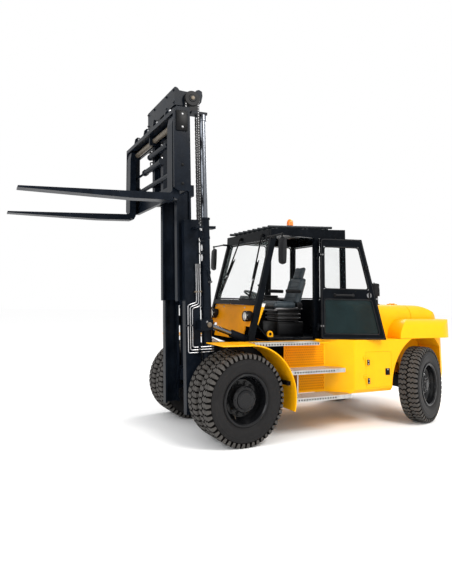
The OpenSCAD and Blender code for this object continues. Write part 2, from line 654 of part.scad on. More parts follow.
module inner_mast() { color(black) mast() {
  both() difference() {
    box(inner_u0, inner_u1, inner_y0, inner_y1, inner_w0, inner_top);
    box(inner_u0 + rail_t, inner_u1 - rail_t, inner_y0 - 1, inner_y0 + 32, inner_w0 - 1, inner_top + 1);
    box(inner_u0 + rail_t, inner_u1 - rail_t, inner_y1 - 32, inner_y1 + 1, inner_w0 - 1, inner_top + 1);
  }
  // Cross members at the foot, the middle and the top
  for (w = [215, 1500]) {
    box(inner_u0 - 50, inner_u0 - 25, -inner_y1, inner_y1, inner_w0 + w, inner_w0 + w + 170);
    both() box(inner_u0 - 50, inner_u0 + 10, inner_y0, inner_y1, inner_w0 + w, inner_w0 + w + 170);
  }
  box(inner_u1 + 80, inner_u1 + 120, -head_y, head_y, inner_top - 70, inner_top + 200);
  both() box(inner_u1 - 30, inner_u1 + 81, inner_y0, inner_y1, inner_top - 70, inner_top + 120);
  both() box(inner_u0, inner_u1, inner_y0, inner_y1, inner_top - 1, inner_top + 120);
  both() box(-100, inner_u1 + 81, 100, 130, inner_top, inner_top + 170);
  box(inner_u0 + 45, inner_u0 + 85, -inner_y1, inner_y1, inner_top, inner_top + 120);
  // Cheeks of the crosshead, each with two ears
  both() side(head_y - 30, head_y) translate([0, inner_top]) polygon([[inner_u1 + 120, -70],
      [inner_u1 + 120, 200],
    [inner_u1 + 100, 208], [inner_u1 + 70, 196], [inner_u1 + 40, 160], [130, 150], [80, 200], [40,
        212], [-5, 190], [-12, 120],
    [10, 20], [40, -20], [210, -70]]);
  both() bar(head_u, head_y - 20, head_y + 12, inner_top + 40, 34);
  // Brackets over the lift rods
  both() box(lift_u - 60, inner_u0 + 20, inner_y1 - 20, lift_y + 60, outer_top + lift + 130,
      outer_top + lift + 170);
  // Foot rollers in the outer channels
  both() bar((rail_u0 + rail_u1) / 2, inner_y1 - 40, outer_y - rail_t - 6, inner_w0 + 110,
      (rail_depth - 2 * rail_t) / 2 - 5);
} }
module chain_sheaves() { color(grey) mast() both() {
  difference() { bar(0, 165, 235, sheave_w, sheave_r + 14);
    difference() { bar(0, 178, 222, sheave_w, sheave_r + 20);
        bar(0, 170, 230, sheave_w, sheave_r - chain_h / 2); } }
  bar(0, 130, 165, sheave_w, 36);
  // Hose pulleys outside the crosshead
  translate([head_u, head_y + 12 + gap, inner_top + 40]) rotate([-90, 0, 0]) rotate_extrude()
    polygon([[0, 0], [112, 0], [116, 8], [96, 20], [96, 36], [116, 48], [112, 56],
      [60, 56], [52, 64], [0, 64]]);
} }
module chains_rear() { color(grey) mast() both()
  box(-sheave_r - chain_h / 2, -sheave_r + chain_h / 2, 180, 220, outer_top - 50, sheave_w); }
module chains_front() { color(grey) mast() both()
  box(sheave_r - chain_h / 2, sheave_r + chain_h / 2, 180, 220, carr_w0 + 500, sheave_w); }

tube_u = carr_u0 + 84;
module carriage() { color(black) mast() difference() {
  union() {
    // End plates
    both() side(carriage_y - 35, carriage_y) polygon([[carr_u0, carr_w0], [carr_u0, carr_w1 + 30],
        [carr_u1 - 40, carr_w1 + 30],
      [carr_u1, carr_w1 - 10], [carr_u1, carr_w0 + 40], [carr_u1 - 50, carr_w0]]);
    // Top, middle and bottom beams
    box(carr_u0, carr_u1, -carriage_y, carriage_y, carr_w1 - 60, carr_w1);
    box(carr_u0, carr_u0 + 60, -carriage_y, carriage_y, carr_w0, carr_w0 + 180);
    box(carr_u0, carr_u0 + 40, -carriage_y, carriage_y, carr_w1 - 150, carr_w1);
    // Uprights that run in the inner mast
    both() box(inner_u1 + slide_gap, carr_u0 + 60, 150, 260, carr_w0, carr_w1);
    both() box(sheave_r - 18, inner_u1 + 20, 120, 150, carr_w0 + 120, carr_w1 - 250);
    both() box(inner_u1 + slide_gap, carr_u0, 110, 260, carr_w0 + 120, carr_w1 - 250);
    // Chain anchors
    both() box(sheave_r - 18, sheave_r + 26, 140, 226, carr_w0 + 440, carr_w0 + 500);
    // Rollers
    both() for (w = [carr_w0 + 200, carr_w1 - 330]) bar((inner_u0 + inner_u1) / 2, 120, inner_y0 + 24,
        w, 74);
    // Fork positioning cylinders with their clamps and rods
    for (k = [0, 1]) mirror([0, k, 0]) {
      w = carr_w1 - 320 - 190 * k;
      bar(tube_u, -260, 560, w, 44);
      bar(tube_u, 550, carriage_y - 30, w, 20);
      bar(tube_u, 520, 580, w, 52);
      bar(tube_u, -290, -240, w, 52);
    }
    both() for (k = [0, 1]) box(carr_u0 + 50, tube_u, 165, 245, carr_w1 - 372 - 190 * k,
        carr_w1 - 268 - 190 * k);
    // Lower shaft and its gussets
    bar(tube_u, -carriage_y + 30, carriage_y - 30, carr_w0 + 330, 34);
    both() box(carr_u0 + 50, tube_u, 165, 245, carr_w0 + 290, carr_w0 + 370);
    both() translate([carr_u0, 0, 0]) rotate([90, 0, 90]) linear_extrude(28)
      polygon([[carriage_y - 34, carr_w0 + 179], [carriage_y - 34, carr_w0 + 470], [620, carr_w0 + 179]]);
    // Hanger of the fork shaft
    box(carr_u0 + 30, carr_u1 - 40, -20, 20, carr_w1 - 200, carr_w1 - 59);
    // Lugs along the top
    for (y = [-830, -300, 150, 720]) {
      side(y - 16, y + 16) polygon([[carr_u0 + 70, carr_w1 - 1], [carr_u0 + 80, carr_w1 + 120],
          [carr_u0 + 110, carr_w1 + 150],
        [carr_u0 + 150, carr_w1 + 150], [carr_u0 + 180, carr_w1 + 120], [carr_u0 + 200, carr_w1 - 1]]);
      bar(carr_u0 + 130, y - 70, y + 70, carr_w1 + 96, 32);
    }
  }
  bar(shaft_u, -60, 60, carr_w1 - 130, 42 + gap);
} }
module fork_shafts() { color(grey) mast() {
  bar(shaft_u, -carriage_y + 35, carriage_y - 35, carr_w1 - 130, 42);
} }
module fork() {
  difference() {
    side(fork_y - fork_w / 2, fork_y + fork_w / 2) polygon([[fork_u, fork_w1 - fork_t + 40],
        [fork_u - 12, fork_w1 - fork_t + 12],
      [fork_u - 60 + 20, fork_w1 - fork_t], [fork_u + 500, fork_w1 - fork_t + 4], [fork_tip_u,
          fork_w1 - 22], [fork_tip_u, fork_w1],
      [fork_u + 30, fork_w1], [fork_u + 6, fork_w1 + 24], [fork_u, carr_w1 - 190], [fork_u - 20,
          carr_w1 - 80],
      [shaft_u - 52, carr_w1 - 80], [shaft_u - 52, carr_w1 - 180], [fork_u - fork_t, carr_w1 - 260],
          [fork_u - fork_t, fork_w1 - 30],
      [fork_u - fork_t + 30, fork_w1 - fork_t + 10]]);
    bar(shaft_u, 0, 1300, carr_w1 - 130, 42 + gap);
  }
}
module forks() { color(black) mast() both() fork(); }

module tilt_place() { place() translate([tilt_ax, 0, tilt_az]) rotate([0, -tilt_deg, 0]) children(); }
tilt_barrel = 800;
module tilt_barrels() { color(black) tilt_place() both() difference() {
  union() {
    translate([30, tilt_y, 0]) rotate([0, 90, 0]) cylinder(r = tilt_r, h = tilt_barrel - 30);
    bar(0, tilt_y - 45, tilt_y + 45, 0, 54);
    bar(0, tilt_y - tilt_r - 4 - tilt_ear, tilt_y + tilt_r + 4 + tilt_ear, 0, 32);
  }
  translate([90, tilt_y, 0]) rotate([0, 90, 0]) cylinder(r = tilt_rod_r + gap, h = tilt_barrel);
} }
module tilt_rods() { color("silver") tilt_place() both() {
  difference() {
    union() {
      translate([tilt_barrel - 420, tilt_y, 0]) rotate([0, 90, 0])
        cylinder(r = tilt_rod_r, h = tilt_len - tilt_barrel + 400);
      bar(tilt_len, tilt_y - 45, tilt_y + 45, 0, 56);
    }
    bar(tilt_len, tilt_y - 50, tilt_y + 50, 0, tilt_pin + eye_play);
  }
} }

frame();
drive_axle();
steer_axle();
counterweight();
radiator_grille();
engine_block();
engine_hood();
left_side_box();
right_side_box();
service_door();
front_fenders();
steps();
cowl();
cab_frame();
cab_roof();
cab_glass();
seat();
steering_column();
lamps();
mirrors();
air_cleaner();
door_frame();
door_glass();
outer_mast();
lift_barrels();
tilt_barrels();
tilt_rods();
inner_mast();
lift_rods();
chain_sheaves();
chains_rear();
chains_front();
carriage();
fork_shafts();
forks();
front_left_tyres();
front_left_rims();
front_right_tyres();
front_right_rims();
left_knuckle();
right_knuckle();
rear_left_tyre();
rear_left_rim();
rear_right_tyre();
rear_right_rim();
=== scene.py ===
import json
import math
import bpy
import bmesh
from mathutils import Matrix, Vector

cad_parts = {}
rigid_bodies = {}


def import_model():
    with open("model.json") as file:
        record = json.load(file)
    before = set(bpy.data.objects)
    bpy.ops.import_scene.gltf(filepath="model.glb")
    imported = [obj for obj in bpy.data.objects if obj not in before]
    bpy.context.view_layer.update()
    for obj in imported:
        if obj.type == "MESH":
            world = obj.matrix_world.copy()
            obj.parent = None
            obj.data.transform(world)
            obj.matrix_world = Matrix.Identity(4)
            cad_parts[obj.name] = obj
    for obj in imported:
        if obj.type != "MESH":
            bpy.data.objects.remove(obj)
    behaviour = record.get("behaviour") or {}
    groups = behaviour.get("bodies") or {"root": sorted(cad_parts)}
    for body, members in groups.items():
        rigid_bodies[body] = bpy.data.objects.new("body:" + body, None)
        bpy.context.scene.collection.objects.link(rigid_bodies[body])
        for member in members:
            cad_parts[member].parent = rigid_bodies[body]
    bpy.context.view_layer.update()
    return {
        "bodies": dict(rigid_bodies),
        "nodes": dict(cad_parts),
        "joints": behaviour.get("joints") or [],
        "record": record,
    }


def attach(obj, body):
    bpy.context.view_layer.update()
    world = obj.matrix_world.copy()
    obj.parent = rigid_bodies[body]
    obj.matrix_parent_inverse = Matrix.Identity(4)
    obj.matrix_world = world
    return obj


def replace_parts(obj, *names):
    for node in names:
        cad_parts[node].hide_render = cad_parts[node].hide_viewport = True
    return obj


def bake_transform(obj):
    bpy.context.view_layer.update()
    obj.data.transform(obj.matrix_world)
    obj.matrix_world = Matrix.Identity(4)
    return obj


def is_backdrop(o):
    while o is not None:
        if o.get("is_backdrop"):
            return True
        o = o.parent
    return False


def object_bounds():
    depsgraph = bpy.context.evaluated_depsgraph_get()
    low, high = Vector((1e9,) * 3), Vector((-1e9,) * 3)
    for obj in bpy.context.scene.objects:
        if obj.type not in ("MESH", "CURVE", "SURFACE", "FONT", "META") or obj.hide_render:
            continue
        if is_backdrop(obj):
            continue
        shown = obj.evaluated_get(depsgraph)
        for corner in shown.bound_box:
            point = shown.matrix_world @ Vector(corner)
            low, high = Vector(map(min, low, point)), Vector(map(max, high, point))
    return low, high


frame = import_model()
NODE = frame["nodes"]
# How far the drive axle stands ahead of the origin
SHIFT = 0.57637


# Materials

def node(m, kind, **values):
    """New shader node of a material, with some of its inputs set."""
    new = m.node_tree.nodes.new("ShaderNode" + kind)
    for key, value in values.items():
        new.inputs[key.replace("_", " ")].default_value = value
    return new


def material(name, base, rough=0.5, metal=0.0, vary=0.12, scale=6.0, bump=None, coat=0.0, dirt=None,
             alpha=1.0, emit=0.0, spec=0.5):
    """Painted, cast or moulded surface with uneven tone and gloss.

    The bump gives a grain's strength and scale, and the dirt a colour and its amount.
    """
    m = bpy.data.materials.new(name)
    m.use_nodes = True
    link = m.node_tree.links.new
    b = m.node_tree.nodes["Principled BSDF"]
    co = node(m, "TexCoord")
    big = node(m, "TexNoise", Scale=scale, Detail=6.0, Roughness=0.6)
    link(co.outputs["Object"], big.inputs["Vector"])
    ramp = node(m, "ValToRGB")
    for end, at, k in zip(ramp.color_ramp.elements, (0.3, 0.7), (1 - vary, 1 + vary)):
        end.position = at
        end.color = (*(min(1.0, max(0.0, c * k)) for c in base), 1)
    link(big.outputs["Fac"], ramp.inputs["Fac"])
    colour = ramp.outputs["Color"]
    if dirt is not None:
        fine = node(m, "TexNoise", Scale=scale * 3.7, Detail=9.0)
        link(co.outputs["Object"], fine.inputs["Vector"])
        edge = node(m, "MapRange", From_Min=0.52, From_Max=0.75, To_Max=dirt[3])
        link(fine.outputs["Fac"], edge.inputs["Value"])
        mix = node(m, "Mix")
        mix.data_type = "RGBA"
        link(edge.outputs["Result"], mix.inputs["Factor"])
        link(colour, mix.inputs["A"])
        mix.inputs["B"].default_value = (*dirt[:3], 1)
        colour = mix.outputs["Result"]
    link(colour, b.inputs["Base Color"])
    gloss = node(m, "MapRange", To_Min=max(0.02, rough - 0.08), To_Max=min(1.0, rough + 0.1))
    link(big.outputs["Fac"], gloss.inputs["Value"])
    link(gloss.outputs["Result"], b.inputs["Roughness"])
    if bump is not None:
        grain = node(m, "TexNoise", Scale=bump[1], Detail=4.0)
        link(co.outputs["Object"], grain.inputs["Vector"])
        rise = node(m, "Bump", Strength=bump[0], Distance=0.004)
        link(grain.outputs["Fac"], rise.inputs["Height"])
        link(rise.outputs["Normal"], b.inputs["Normal"])
    if emit:
        link(colour, b.inputs["Emission Color"])
        b.inputs["Emission Strength"].default_value = emit
    for key, value in (("Metallic", metal), ("Specular IOR Level", spec), ("Coat Weight", coat),
                       ("Coat Roughness", 0.08), ("Alpha", alpha)):
        b.inputs[key].default_value = value
    return m


M = {
    "yellow": material(
        "yellow_paint", (0.94, 0.425, 0.0015), 0.34, vary=0.05, scale=2.5, bump=(0.03, 180), coat=0.06,
        dirt=(0.55, 0.22, 0.004, 0.12), spec=0.12),
    # Painted shade: the body yellow darkened to a deep amber for the step risers and the cowl, which lie in
    # shade
    "riser": material(
        "yellow_painted_shade", (0.8, 0.29, 0.0015), 0.4, vary=0.06, scale=4, bump=(0.05, 160),
        dirt=(0.45, 0.18, 0.01, 0.2), spec=0.05),
    # Painted shade: darker discs where the riser's holes are
    "riser_hole_shade": material(
        "riser_hole_shade", (0.45, 0.15, 0.003), 0.5, vary=0.15, scale=30, bump=(0.1, 200), spec=0.1),
    "black": material(
        "black_paint", (0.0042, 0.0064, 0.0105), 0.3, vary=0.35, scale=5, bump=(0.05, 120), coat=0.02,
        dirt=(0.016, 0.018, 0.021, 0.3), spec=0.055),
    "cab": material(
        "cab_paint", (0.0024, 0.0034, 0.005), 0.28, vary=0.3, scale=4, bump=(0.04, 140), coat=0.02,
        dirt=(0.01, 0.011, 0.013, 0.25), spec=0.045),
    "roof": material(
        "roof_paint", (0.014, 0.017, 0.02), 0.42, vary=0.25, scale=6, bump=(0.05, 140),
        dirt=(0.04, 0.04, 0.04, 0.3), spec=0.2),
    "satin": material(
        "black_satin", (0.0045, 0.0046, 0.0052), 0.36, vary=0.3, scale=7, bump=(0.06, 140),
        dirt=(0.02, 0.019, 0.018, 0.3), spec=0.1),
    "plastic": material(
        "black_plastic", (0.007, 0.0074, 0.0085), 0.52, vary=0.25, scale=12, bump=(0.2, 400), spec=0.18),
    "cast": material(
        "cast_grey", (0.1, 0.105, 0.11), 0.55, metal=0.35, vary=0.25, scale=9, bump=(0.25, 90),
        dirt=(0.05, 0.035, 0.02, 0.5)),
    "chrome": material(
        "chrome_rod", (0.15, 0.16, 0.18), 0.18, metal=1.0, vary=0.06, scale=14, bump=(0.02, 300),
        dirt=(0.1, 0.095, 0.085, 0.3)),
    "steel": material(
        "steel", (0.22, 0.22, 0.225), 0.36, metal=0.95, vary=0.18, scale=18, bump=(0.08, 220),
        dirt=(0.09, 0.075, 0.055, 0.4)),
    "zinc": material(
        "zinc_fitting", (0.46, 0.46, 0.47), 0.3, metal=0.9, vary=0.12, scale=30, bump=(0.05, 260)),
    "brass": material(
        "brass_grease", (0.115, 0.095, 0.07), 0.46, metal=0.5, vary=0.3, scale=16, bump=(0.2, 120),
        dirt=(0.09, 0.06, 0.035, 0.6)),
    "tread_plate": material(
        "tread_plate", (0.44, 0.44, 0.43), 0.36, metal=0.85, vary=0.15, scale=14, bump=(0.15, 160),
        dirt=(0.25, 0.2, 0.13, 0.5)),
    "leather": material("seat_leather", (0.03, 0.044, 0.054), 0.44, vary=0.25, scale=10, bump=(0.3, 260)),
    "rubber": material(
        "tyre_rubber", (0.0105, 0.01, 0.0103), 0.5, vary=0.2, scale=5, bump=(0.1, 90),
        dirt=(0.028, 0.026, 0.024, 0.2), spec=0.14),
    "tread": material(
        "tread_rubber", (0.058, 0.054, 0.05), 0.78, vary=0.25, scale=14, bump=(0.25, 150),
        dirt=(0.11, 0.1, 0.088, 0.35), spec=0.2),
    # Painted shade: the tyre rubber made darker in the grooves and on the walls of the tread blocks
    "groove": material(
        "groove_painted_shade", (0.004, 0.0037, 0.0035), 0.9, vary=0.3, scale=18, bump=(0.2, 120), spec=0.04),
    "rim": material(
        "rim_paint", (0.0045, 0.0047, 0.0055), 0.24, vary=0.3, scale=6, bump=(0.06, 120), coat=0.08,
        dirt=(0.014, 0.0135, 0.013, 0.25), spec=0.2),
    "chain": material(
        "chain_steel", (0.012, 0.0125, 0.0135), 0.4, metal=0.4, vary=0.3, scale=40, bump=(0.1, 240),
        spec=0.3),
    "hose": material("hose_rubber", (0.016, 0.016, 0.017), 0.5, vary=0.3, scale=40, bump=(0.15, 320)),
    "lens": material("lamp_lens", (0.8, 0.8, 0.77), 0.1, vary=0.1, scale=30, bump=(0.12, 220), coat=0.6),
    "amber": material(
        "amber_lens", (0.95, 0.22, 0.01), 0.16, vary=0.12, scale=24, bump=(0.1, 200), coat=0.6, emit=0.15),
    "red": material("red_lens", (0.55, 0.012, 0.01), 0.16, vary=0.15, scale=24, bump=(0.1, 200), coat=0.6),
    "mirror": material("mirror_glass", (0.75, 0.78, 0.8), 0.04, metal=1.0, vary=0.04, scale=8),
    "glass": material("glass", (0.7, 0.82, 0.8), 0.04, vary=0.05, scale=3, alpha=0.045, spec=0.2),
    "door_glass": material(
        "door_glass", (0.007, 0.016, 0.017), 0.05, vary=0.4, scale=2.2, alpha=0.12, spec=0.14),
}


def shade_by_height(m, low, high, below, above):
    """Glass that is darker below a rail than above it."""
    link = m.node_tree.links.new
    xyz = node(m, "SeparateXYZ")
    link(node(m, "TexCoord").outputs["Object"], xyz.inputs["Vector"])
    at = node(m, "MapRange", From_Min=low, From_Max=high, To_Min=below, To_Max=above)
    link(xyz.outputs["Z"], at.inputs["Value"])
    link(at.outputs["Result"], m.node_tree.nodes["Principled BSDF"].inputs["Alpha"])


shade_by_height(M["door_glass"], 1.86, 1.98, 0.93, 0.04)

NODES = {
    "yellow": "counterweight engine_hood left_side_box right_side_box service_door front_fenders",
    "satin": "frame drive_axle steer_axle radiator_grille chain_sheaves",
    "black": "outer_mast lift_barrels tilt_barrels inner_mast carriage forks",
    "rubber": "front_left_tyres front_right_tyres rear_left_tyre rear_right_tyre",
    "rim": "front_left_rims front_right_rims rear_left_rim rear_right_rim",
    "plastic": "steering_column mirrors air_cleaner", "cast": "engine_block left_knuckle right_knuckle",
    "cab": "cab_frame door_frame", "roof": "cab_roof", "glass": "cab_glass", "door_glass": "door_glass",
    # The cowl takes the riser's darker yellow, which is painted shade
    "riser": "cowl", "tread_plate": "steps", "leather": "seat", "lens": "lamps", "brass": "fork_shafts",
    "chrome": "tilt_rods lift_rods", "steel": "chains_rear chains_front",
}
for key, names in NODES.items():
    for name in names.split():
        mesh = NODE[name].data
        mesh.materials.clear()
        mesh.materials.append(M[key])


# Mesh building

# The mast's tilt pivot, forward of the drive axle and up, and its lean forward
MAST_X, MAST_Z = 0.3, 0.45
LEAN = math.radians(4.1)
# Stands a plate up in the x-z plane
UPRIGHT = Matrix(((1, 0, 0, 0), (0, 0, -1, 0), (0, 1, 0, 0), (0, 0, 0, 1)))


def axle(x, y, z):
    """Point given from the drive axle."""
    return Vector((x + SHIFT, y, z))


def mast(u, y, w):
    """Point given forward, left and up along the mast from its tilt pivot."""
    x = MAST_X + u * math.cos(LEAN) + w * math.sin(LEAN)
    return axle(x, y, MAST_Z - u * math.sin(LEAN) + w * math.cos(LEAN))


MAST_FRAME = Matrix.Translation(mast(0, 0, 0)) @ Matrix.Rotation(LEAN, 4, "Y")


def around(n, r=1.0, start=0.0):
    """Points spaced evenly round a circle."""
    turns = [start + 2 * math.pi * i / n for i in range(n)]
    return [(r * math.cos(a), r * math.sin(a)) for a in turns]


def skin(bm, rings):
    """Faces between each ring of points and the next."""
    for a, b in zip(rings, rings[1:]):
        for i in range(len(a)):
            j = (i + 1) % len(a)
            bm.faces.new((a[i], a[j], b[j], b[i]))


class Piece:
    """Gathers primitives, in one frame unless they name another, into a mesh with several materials."""

    def __init__(self, *mats, frame=Matrix.Identity(4)):
        self.bm = bmesh.new()
        self.mats = mats
        self.frame = frame

    def _merge(self, bm, frame=None, mat=0):
        """Take in a mesh; its faces keep their materials where mat is None."""
        bmesh.ops.transform(bm, matrix=self.frame if frame is None else frame, verts=bm.verts)
        me = bpy.data.meshes.new("part")
        bm.to_mesh(me)
        bm.free()
        n = len(self.bm.faces)
        self.bm.from_mesh(me)
        bpy.data.meshes.remove(me)
        self.bm.faces.ensure_lookup_table()
        if mat is not None:
            for f in self.bm.faces[n:]:
                f.material_index = mat

    def block(self, corner, opposite, bevel=0.004, mat=0, frame=None, seg=2):
        """Box with rounded edges."""
        lo, hi = zip(*(sorted(pair) for pair in zip(corner, opposite)))
        bm = bmesh.new()
        bmesh.ops.create_cube(bm, size=1.0)
        size = [b - a for a, b in zip(lo, hi)]
        for v in bm.verts:
            v.co = Vector([a + (c + 0.5) * s for a, c, s in zip(lo, v.co, size)])
        b = min(bevel, 0.45 * min(size))
        if b > 0:
            bmesh.ops.bevel(bm, geom=bm.edges[:], offset=b, segments=seg, affect="EDGES", profile=0.5)
        self._merge(bm, frame, mat)

    def turned(self, profile, at=(0, 0, 0), axis=(0, 0, 1), seg=32, mat=0, frame=None):
        """Solid of revolution; the profile gives radius and distance along the axis."""
        bm = bmesh.new()
        q = Vector((0, 0, 1)).rotation_difference(Vector(axis).normalized()).to_matrix().to_4x4()
        rings = []
        for r, h in profile:
            if rings and len(rings) == len(profile) - 1 and profile[0] == (r, h):
                rings.append(rings[0])
            elif r < 1e-6:
                rings.append([bm.verts.new((0, 0, h))])
            else:
                rings.append([bm.verts.new((x, y, h)) for x, y in around(seg, r)])
        for a, b in zip(rings, rings[1:]):
            for i in range(seg):
                j = (i + 1) % seg
                ring = [a[i % len(a)], a[j % len(a)], b[j % len(b)], b[i % len(b)]]
                ring = [v for k, v in enumerate(ring) if v not in ring[:k]]
                if len(ring) > 2:
                    bm.faces.new(ring)
        if profile[0] != profile[-1]:
            for end in (rings[0], rings[-1]):
                if len(end) > 2:
                    bm.faces.new(end)
        bmesh.ops.recalc_face_normals(bm, faces=bm.faces)
        self._merge(bm, (self.frame if frame is None else frame) @ Matrix.Translation(at) @ q, mat)

    def cap(self, r, h, top_r, top_h, at, axis, seg=24, mat=0, frame=None):
        """Low round cap with a bevelled edge."""
        self.turned([(0.0, 0.0), (r, 0.0), (r, h), (top_r, top_h), (0.0, top_h)], at, axis, seg, mat, frame)

    def rod(self, p, q, r, seg=16, mat=0, frame=None, edge=0.15):
        """Rod between two points, its ends bevelled."""
        p, q = Vector(p), Vector(q)
        h = (q - p).length
        c = min(r * edge, h * 0.3)
        self.turned([(r - c, 0), (r, c), (r, h - c), (r - c, h)], p, q - p, seg, mat, frame)

    def tube(self, points, r, seg=10, mat=0, frame=None, bend=0.0):
        """Pipe along points, its corners rounded over the length bend."""
        pts = [Vector(p) for p in points]
        if bend:
            out = [pts[0]]
            for a, b, c in zip(pts, pts[1:], pts[2:]):
                back, on = a - b, c - b
                k = min(bend, 0.45 * back.length, 0.45 * on.length)
                s, e = b + back.normalized() * k, b + on.normalized() * k
                for i in range(7):
                    t = i / 6
                    out.append((1 - t) ** 2 * s + 2 * t * (1 - t) * b + t * t * e)
            out.append(pts[-1])
            pts = out
        bm = bmesh.new()
        rings = []
        n = (pts[1] - pts[0]).normalized().orthogonal().normalized()
        for i, p in enumerate(pts):
            t = (pts[min(i + 1, len(pts) - 1)] - pts[max(i - 1, 0)]).normalized()
            n = (n - t * n.dot(t)).normalized()
            b = t.cross(n)
            rings.append([bm.verts.new(p + x * n + y * b) for x, y in around(seg, r)])
        skin(bm, rings)
        bm.faces.new(rings[0])
        bm.faces.new(rings[-1])
        bmesh.ops.recalc_face_normals(bm, faces=bm.faces)
        self._merge(bm, frame, mat)

    def plate(self, outline, t, frame, mat=0, bevel=0.0):
        """Plate of thickness t over an outline in the frame's XY plane."""
        bm = bmesh.new()
        lo = [bm.verts.new((x, y, 0)) for x, y in outline]
        hi = [bm.verts.new((x, y, t)) for x, y in outline]
        bm.faces.new(lo)
        bm.faces.new(hi)
        skin(bm, [lo, hi])
        bmesh.ops.recalc_face_normals(bm, faces=bm.faces)
        if bevel:
            bmesh.ops.bevel(bm, geom=bm.edges[:], offset=bevel, segments=1, affect="EDGES")
        self._merge(bm, frame, mat)

    def bolt(self, at, axis, r=0.012, mat=0, frame=None):
        """Hexagon head on a washer."""
        self.turned([(r * 1.5, 0), (r * 1.5, r * 0.25), (r * 1.35, r * 0.3)], at, axis, 14, mat, frame)
        a = Vector(at) + Vector(axis).normalized() * r * 0.28
        self.turned([(r, 0), (r, r * 0.7), (r * 0.82, r * 0.9)], a, axis, 6, mat, frame)

    def done(self, name, body, slot=None, smooth=35):
        """The finished object; edges sharper than the angle smooth stay sharp."""
        me = bpy.data.meshes.new(name)
        bmesh.ops.remove_doubles(self.bm, verts=self.bm.verts, dist=1e-6)
        self.bm.to_mesh(me)
        self.bm.free()
        for k in self.mats:
            me.materials.append(M[k])
        o = bpy.data.objects.new(name, me)
        bpy.context.collection.objects.link(o)
        me.shade_smooth()
        me.set_sharp_from_angle(angle=math.radians(smooth))
        if body:
            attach(o, body)
        return o


# Tyres and wheels

TYRE_R, RIM_R = 0.5625, 0.32
TREAD_ROWS = 48
# Half the carcass: height above the bead or depth below the tread, and distance from the middle
SIDEWALL = [
    (0, 0.118), (0.004, 0.132), (0.012, 0.139), (0.022, 0.1405), (0.026, 0.146), (0.032, 0.1465),
    (0.036, 0.148), (0.06, 0.1545), (0.095, 0.157), (0.125, 0.1555), (0.128, 0.1565), (0.132, 0.1565),
    (0.135, 0.1545), (0.144, 0.1535), (0.146, 0.1548), (0.15, 0.1548), (0.152, 0.1528), (0.166, 0.1505),
    (0.168, 0.1518), (0.172, 0.1514), (0.174, 0.149)]
CROWN = [(0.066, 0.145), (0.044, 0.133), (0.034, 0.115), (0.033, 0.0)]
# Middle line of a tread block: distance from the middle, turn in steps, drop below the tread
WAVE = [(0.022, -0.06, 0.0), (0.042, 0.15, 0.0), (0.068, -0.17, 0.0), (0.094, 0.13, 0.0),
        (0.119, -0.06, 0.002), (0.136, 0.0, 0.009)]
# Skirt of the shoulder below a tread block: turn in steps, distance from the middle, drop
SKIRT = [(-0.36, 0.1365, 0.0095), (0.36, 0.1365, 0.0095), (0.3, 0.1475, 0.034), (0.22, 0.1505, 0.06),
         (-0.22, 0.1505, 0.06), (-0.3, 0.1475, 0.034)]
# How far the rear wheels are turned, and where a valve stands round the wheel
STEER = math.radians(22)
VALVE = -1.05


def tyre(p, frame):
    """Carcass with a ringed sidewall, and rows of wavy tread blocks that meet in a zigzag groove."""
    r, b = TYRE_R, RIM_R + 0.0006
    half = [(b + up, out) for up, out in SIDEWALL] + [(r - down, out) for down, out in CROWN]
    prof = [(a, -z) for a, z in half] + [(a, z) for a, z in reversed(half[:-1])]
    bm = bmesh.new()
    rings = [[bm.verts.new((x, y, z)) for x, z in around(108, a)] for a, y in prof]
    skin(bm, rings + rings[:1])
    for f in bm.faces:
        # The crown between the tread blocks takes the darker groove rubber, painted shade
        f.material_index = 2 if min(v.co.xz.length for v in f.verts) > r - 0.067 else 0
    bmesh.ops.recalc_face_normals(bm, faces=bm.faces)
    p._merge(bm, frame, None)

    bm = bmesh.new()
    step = 2 * math.pi / TREAD_ROWS

    def block(centre, outline, side):
        """Outline in turn, width and drop below the tread; the foot is wider than the top."""
        top, foot = [], []
        cx = sum(t for t, _, _ in outline) / len(outline)
        for t, y, drop in outline:
            for ring, rr, grow in ((top, r - drop, 1.0), (foot, r - 0.037 - drop * 0.75, 1.05)):
                a = centre + (cx + (t - cx) * grow) * step
                out = y if ring is top else y - 0.002
                ring.append(bm.verts.new((rr * math.cos(a), side * out, rr * math.sin(a))))
        bm.faces.new(top).material_index = 1
        for k in range(len(top)):
            m = (k + 1) % len(top)
            # The walls of a block take the darker groove rubber, painted shade
            bm.faces.new((top[k], foot[k], foot[m], top[m])).material_index = 2

    for side in (-1, 1):
        for i in range(TREAD_ROWS):
            c = (i + (0.5 if side > 0 else 0.0)) * step
            edge = [(w - 0.36, y, d) for y, w, d in WAVE]
            edge += [(w + 0.36, y, d) for y, w, d in reversed(WAVE)]
            block(c, edge + [(0.0, -0.004, 0.0)], side)
            block(c, SKIRT, side)
    bmesh.ops.recalc_face_normals(bm, faces=bm.faces)
    p._merge(bm, frame, None)


def wheel_frame(kind, side):
    """Middle of the outer front tyre or of the turned rear tyre."""
    if kind == "front":
        return Matrix.Translation(axle(0, side * 1.04, TYRE_R))
    king_pin = Matrix.Translation(axle(-3.19, side * 0.83, TYRE_R))
    return king_pin @ Matrix.Rotation(STEER, 4, "Z") @ Matrix.Translation((0, side * 0.17, 0))


